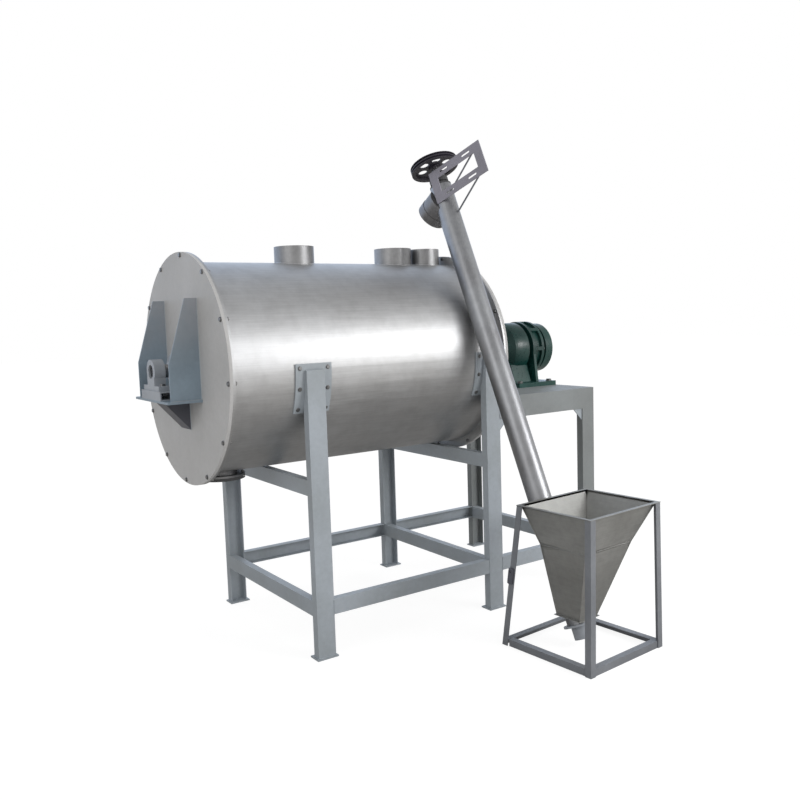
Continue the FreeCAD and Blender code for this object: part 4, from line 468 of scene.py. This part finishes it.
def steelWelds():
    rimGap = drum["plate"] + drum["flange"]
    paths = [saddlePath(*neck) for neck in drumSeams["necks"]]
    return paths + [hoopPath(drum["front"] + rimGap), hoopPath(drum["rear"] - rimGap)]


frameSeams = {
    "wing": {"faces": (0.2405, 0.2315), "rise": (1.342, 1.838), "foot": 1.34, "reach": 0.156},
    "brace": {"sides": (0.07, -0.07), "rise": (1.172, 1.326)},
    "shelf": {"half": 0.25, "height": 1.3275},
    "side": 0.5755,
    "lowRail": {"ends": (-0.52, 0.52, 0.62, 1.30), "rise": (0.222, 0.298)},
    "table": {"end": 0.62, "rise": (1.114, 1.23)},
    "foot": {"places": (-0.57, 0.57, 1.35), "half": 0.048, "height": 0.0085},
}
frameBead = {"Radius": 0.0032, "Ripple": 0.0024, "Seed": 8.0, "Material": finishes["frame"]}


def uprightSeam(x, y, rise):
    return [(x, y, z) for z in rise], False


def levelSeam(start, end):
    return [start, end], False


def paintedWelds(s):
    front, wing, shelf, foot = drum["front"], s["wing"], s["shelf"], s["foot"]
    paths = []
    for side in (-1, 1):
        for y in (side * face for face in wing["faces"]):
            paths.append(uprightSeam(front, y, wing["rise"]))
            paths.append(levelSeam((front, y, wing["foot"]), (front - wing["reach"], y, wing["foot"])))
    paths += [uprightSeam(front, y, s["brace"]["rise"]) for y in s["brace"]["sides"]]
    paths.append(levelSeam((front, -shelf["half"], shelf["height"]), (front, shelf["half"], shelf["height"])))
    for y in (-s["side"], s["side"]):
        paths += [uprightSeam(x, y, s["lowRail"]["rise"]) for x in s["lowRail"]["ends"]]
        paths.append(uprightSeam(s["table"]["end"], y, s["table"]["rise"]))
        for x in foot["places"]:
            near, far = x - foot["half"], x + foot["half"]
            paths.append(levelSeam((near, y, foot["height"]), (far, y, foot["height"])))
    return paths


beads = makeBeadGroup(bead)
drumCurve = curveObject("drumWelds", steelWelds())
grow("drumWelds", drumCurve, beads, drumBead, "frame")
frameCurve = curveObject("frameWelds", paintedWelds(frameSeams))
grow("frameWelds", frameCurve, beads, frameBead, "frame")
print("drum and frame welds made")

# the feeder's own place on the floor and its turn in degrees, and the corners of its hopper there
feeder = {"place": (0.540, -1.290), "turn": 4}
hopperRings = {
    "rim": {"height": 0.745,
            "corners": ((-0.231, -0.222), (0.285, -0.222), (0.285, 0.214), (-0.231, 0.214))},
    "waist": {"height": 0.554,
              "corners": ((-0.190, -0.156), (0.172, -0.156), (0.172, 0.126), (-0.190, 0.126))},
    "foot": {"height": 0.160,
             "corners": ((-0.068, -0.0194), (0.068, -0.0194), (0.068, 0.1304), (-0.068, 0.1304))},
}
hopperBead = {"Radius": 0.0019, "Ripple": 0.0010, "Seed": 5.0, "Material": finishes["hopper"]}


def feederPoint(x, y, z):
    turn = math.radians(feeder["turn"])
    right = x * math.cos(turn) - y * math.sin(turn)
    deep = x * math.sin(turn) + y * math.cos(turn)
    return feeder["place"][0] + right, feeder["place"][1] + deep, z


def hopperWelds():
    rings = {name: [feederPoint(*corner, ring["height"]) for corner in ring["corners"]]
             for name, ring in hopperRings.items()}
    paths = [(rings["waist"], True)]
    for upper, lower in (("rim", "waist"), ("waist", "foot")):
        paths += [([top, bottom], False) for top, bottom in zip(rings[upper], rings[lower])]
    return paths


hopperCurve = curveObject("hopperWelds", hopperWelds())
grow("hopperWelds", hopperCurve, beads, hopperBead, "frame")

# a drilled lug stands on the outer face of the stand's left leg, which leans in towards its top
lug = {"height": 0.088, "width": 0.036, "thickness": 0.007, "corner": 0.004, "sides": 32, "middle": 0.375,
       "overhang": 0.005, "hole": 0.007, "holeRise": 0.022}
leftLeg = {"foot": (-0.2795, 0.3195), "lean": (0.0325, -0.0895), "height": 0.745}
tiny = 1e-6


def onLeg(height):
    rise = height / leftLeg["height"]
    return [foot + lean * rise for foot, lean in zip(leftLeg["foot"], leftLeg["lean"])]


def makeLug(shape):
    bm = bmesh.new()
    half, tall, sides = shape["width"] / 2, shape["height"] / 2, shape["sides"]
    middle, hole, shift = shape["middle"], shape["hole"], shape["overhang"] - half
    middleX, middleY = onLeg(middle)
    layers = []
    for depth in (0, -shape["thickness"]):
        outer, inner = [], []
        for turn in circle(sides):
            across, along = math.cos(turn), math.sin(turn)
            reach = min(half / max(abs(across), tiny), tall / max(abs(along), tiny),
                        math.hypot(half, tall) - shape["corner"])
            z = middle + reach * along
            x, y = onLeg(z)
            outer.append(bm.verts.new(feederPoint(x + depth, y + shift + reach * across, z)))
            z = middle + shape["holeRise"] + hole * along
            inner.append(bm.verts.new(feederPoint(middleX + depth, middleY + shift + hole * across, z)))
        layers.append((outer, inner))
    (backOuter, backInner), (outer, inner) = layers
    for i in range(sides):
        j = (i + 1) % sides
        bm.faces.new((outer[i], outer[j], inner[j], inner[i]))
        bm.faces.new((backOuter[j], backOuter[i], backInner[i], backInner[j]))
        bm.faces.new((outer[j], outer[i], backOuter[i], backOuter[j]))
        bm.faces.new((inner[i], inner[j], backInner[j], backInner[i]))
    bmesh.ops.recalc_face_normals(bm, faces=bm.faces)
    mesh = bpy.data.meshes.new("standLug")
    bm.to_mesh(mesh)
    bm.free()
    piece = bpy.data.objects.new("standLug", mesh)
    scene.collection.objects.link(piece)
    # the lug takes the brace's darker paint: painted shade on the stand's leg
    mesh.materials.append(finishes["brace"])
    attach(piece, "frame")


makeLug(lug)
print("hopper welds and lug made")

# turn is in degrees, and lift sets a washer on the face under its bolt
rimBolts = {"count": 12, "turn": 4.5, "circle": 0.584, "lift": 0.0008}
padBolts = {"places": (-0.648, -0.492, 0.492), "heights": (1.278, 1.3795, 1.481), "lift": 0.0091}
footBolts = {"places": (1.106, 1.360), "sides": (-0.223, 0.223), "height": 1.2689}
rimWasher = {"Inner Radius": 0.0064, "Width": 0.0062, "Thickness": 0.0016, "Material": finishes["fastener"]}
padWasher = {"Inner Radius": 0.0054, "Width": 0.0056, "Thickness": 0.0016, "Material": finishes["fastener"]}
footWasher = {"Inner Radius": 0.0106, "Width": 0.0094, "Thickness": 0.0022, "Material": finishes["fastener"]}


def rimPlaces(b):
    places = []
    for x, way in ((drum["front"] - b["lift"], -1), (drum["rear"] + b["lift"], 1)):
        for turn in circle(b["count"], math.radians(b["turn"])):
            y, rise = b["circle"] * math.cos(turn), b["circle"] * math.sin(turn)
            places.append(((x, y, drum["axis"] + rise), (way, 0, 0)))
    return places


def padPlaces(b):
    places = []
    for x in b["places"]:
        for side in (-1, 1):
            for height in b["heights"]:
                rise = (height - drum["axis"]) / drum["radius"]
                way = Vector((0, side * math.sqrt(1 - rise * rise), rise))
                places.append((Vector((x, 0, drum["axis"])) + way * (drum["radius"] + b["lift"]), way))
    return places


def footPlaces(b):
    return [((x, y, b["height"]), (0, 0, 1)) for x in b["places"] for y in b["sides"]]


washers = makeWasherGroup()
for name, places, washer in (("rimWashers", rimPlaces(rimBolts), rimWasher),
                             ("padWashers", padPlaces(padBolts), padWasher),
                             ("footWashers", footPlaces(footBolts), footWasher)):
    grow(name, pointObject(name, places), washers, washer, "frame")
print("washers made")

# the studio: a white room, and a wide soft lamp at the front right that draws the drum's bright band
studio = {
    "ambient": 0.72,  # plain light from the right
    "ambientLeft": 0.46,  # and from the left
    "ambientFade": (-0.6, 0.4),
    "roomHigh": 0.50,  # what the steel mirrors of the room, overhead
    "roomSide": 0.95,  # and at its sides
    "roomFade": (0.72, 0.86),
    "farTint": (1.10, 1.28, 1.58),  # the room's far end is bluer
    "farFade": (0.1, 0.7),
    "floorReach": 40,
    "floorShade": 0.22,  # how much of the floor's white comes from the lamps, and so how deep its shadow is
    "floorBounce": (0.62, 0.61, 0.60),
    "floorMirror": (1, 0.97, 0.93),  # what the steel mirrors of the floor, from near to far: painted shade makes it darker near the machine
    "floorMirrorNearShade": 0.28,
    "floorFar": 0.74,
    "floorFade": (1.2, 6.0),
    "lampsAimAt": (0, 0, 1.4),
    "lamps": (
        {"name": "windowLamp", "from": (3.4, -5.6, 3.2), "size": (2.7, 1.15), "power": 118},
        {"name": "windowGlow", "from": (3.4, -5.6, 3.2), "size": (3.9, 1.7), "power": 38},
        {"name": "leftLamp", "from": (-5.2, -2.6, 3.4), "size": (2.6, 2.6), "power": 34},
    ),
}
white = (1, 1, 1, 1)


def mixShaders(tree, factor, first, second):
    return addNode(tree, "ShaderNodeMixShader", {0: factor, 1: first.outputs[0], 2: second.outputs[0]})


def makeWorld(s):
    world = bpy.data.worlds.new("room")
    world.use_nodes = True
    scene.world = world
    tree = world.node_tree
    tree.nodes.clear()
    rays = addNode(tree, "ShaderNodeLightPath").outputs
    direction = addNode(tree, "ShaderNodeTexCoord").outputs["Generated"]
    way = addNode(tree, "ShaderNodeSeparateXYZ", {"Vector": direction}).outputs
    level = remap(tree, way["Z"], 0.0, 1.0, -1.0, 1.0)
    room = ramp(tree, level, tuple(zip(s["roomFade"], (s["roomSide"], s["roomHigh"]))))
    far = remap(tree, way["Y"], 0.0, 1.0, *s["farFade"])
    tint = blendColours(tree, far, (1, 1, 1), s["farTint"])
    room = blendColours(tree, 1.0, room, tint, "MULTIPLY")
    fill = remap(tree, way["X"], s["ambientLeft"], s["ambient"], *s["ambientFade"])
    soft = addNode(tree, "ShaderNodeBackground", {"Color": white, "Strength": fill})
    shiny = addNode(tree, "ShaderNodeBackground", {"Color": room, "Strength": 1.0})
    backdrop = addNode(tree, "ShaderNodeBackground", {"Color": white, "Strength": 1.0})
    clear = calculate(tree, "MAXIMUM", rays["Is Camera Ray"], rays["Is Transmission Ray"])
    final = mixShaders(tree, clear, mixShaders(tree, rays["Is Glossy Ray"], soft, shiny), backdrop)
    addNode(tree, "ShaderNodeOutputWorld", {"Surface": final.outputs[0]})


def makeFloor(s):
    mesh = bpy.data.meshes.new("floor")
    reach = s["floorReach"]
    corners = [(-reach, -reach, 0), (reach, -reach, 0), (reach, reach, 0), (-reach, reach, 0)]
    mesh.from_pydata(corners, [], [(0, 1, 2, 3)])
    floor = bpy.data.objects.new("floor", mesh)
    scene.collection.objects.link(floor)
    material = bpy.data.materials.new("floorPaper")
    material.use_nodes = True
    tree = material.node_tree
    tree.nodes.clear()
    rays = addNode(tree, "ShaderNodeLightPath").outputs
    shade = s["floorShade"]
    glow = addNode(tree, "ShaderNodeEmission", {"Color": white, "Strength": 1 - shade * 0.5})
    lit = addNode(tree, "ShaderNodeBsdfDiffuse", {"Color": (shade, shade, shade, 1)})
    paper = addNode(tree, "ShaderNodeAddShader", {0: glow.outputs[0], 1: lit.outputs[0]})
    bounce = addNode(tree, "ShaderNodeBsdfDiffuse", {"Color": (*s["floorBounce"], 1)})
    place = addNode(tree, "ShaderNodeTexCoord").outputs["Object"]
    # the floor as the steel sees it is painted darker near the machine and lighter far off: painted shade
    # under the machine in its reflection
    away = addNode(tree, "ShaderNodeVectorMath", {0: place}, operation="LENGTH").outputs["Value"]
    strength = remap(tree, away, s["floorMirrorNearShade"], s["floorFar"], *s["floorFade"])
    mirrored = addNode(tree, "ShaderNodeEmission", {"Color": (*s["floorMirror"], 1), "Strength": strength})
    other = mixShaders(tree, rays["Is Glossy Ray"], bounce, mirrored)
    final = mixShaders(tree, rays["Is Camera Ray"], other, paper)
    addNode(tree, "ShaderNodeOutputMaterial", {"Surface": final.outputs[0]})
    mesh.materials.append(material)


def makeLamp(lamp, target):
    light = bpy.data.lights.new(lamp["name"], "AREA")
    light.shape = "RECTANGLE"
    light.size, light.size_y = lamp["size"]
    light.energy = lamp["power"]
    holder = bpy.data.objects.new(lamp["name"], light)
    spot = Vector(lamp["from"])
    turn = (Vector(target) - spot).to_track_quat("-Z", "Y").to_matrix().to_4x4()
    holder.matrix_world = Matrix.Translation(spot) @ turn
    holder.visible_camera = False
    scene.collection.objects.link(holder)


makeWorld(studio)
makeFloor(studio)
for lamp in studio["lamps"]:
    makeLamp(lamp, studio["lampsAimAt"])
print("studio lit")
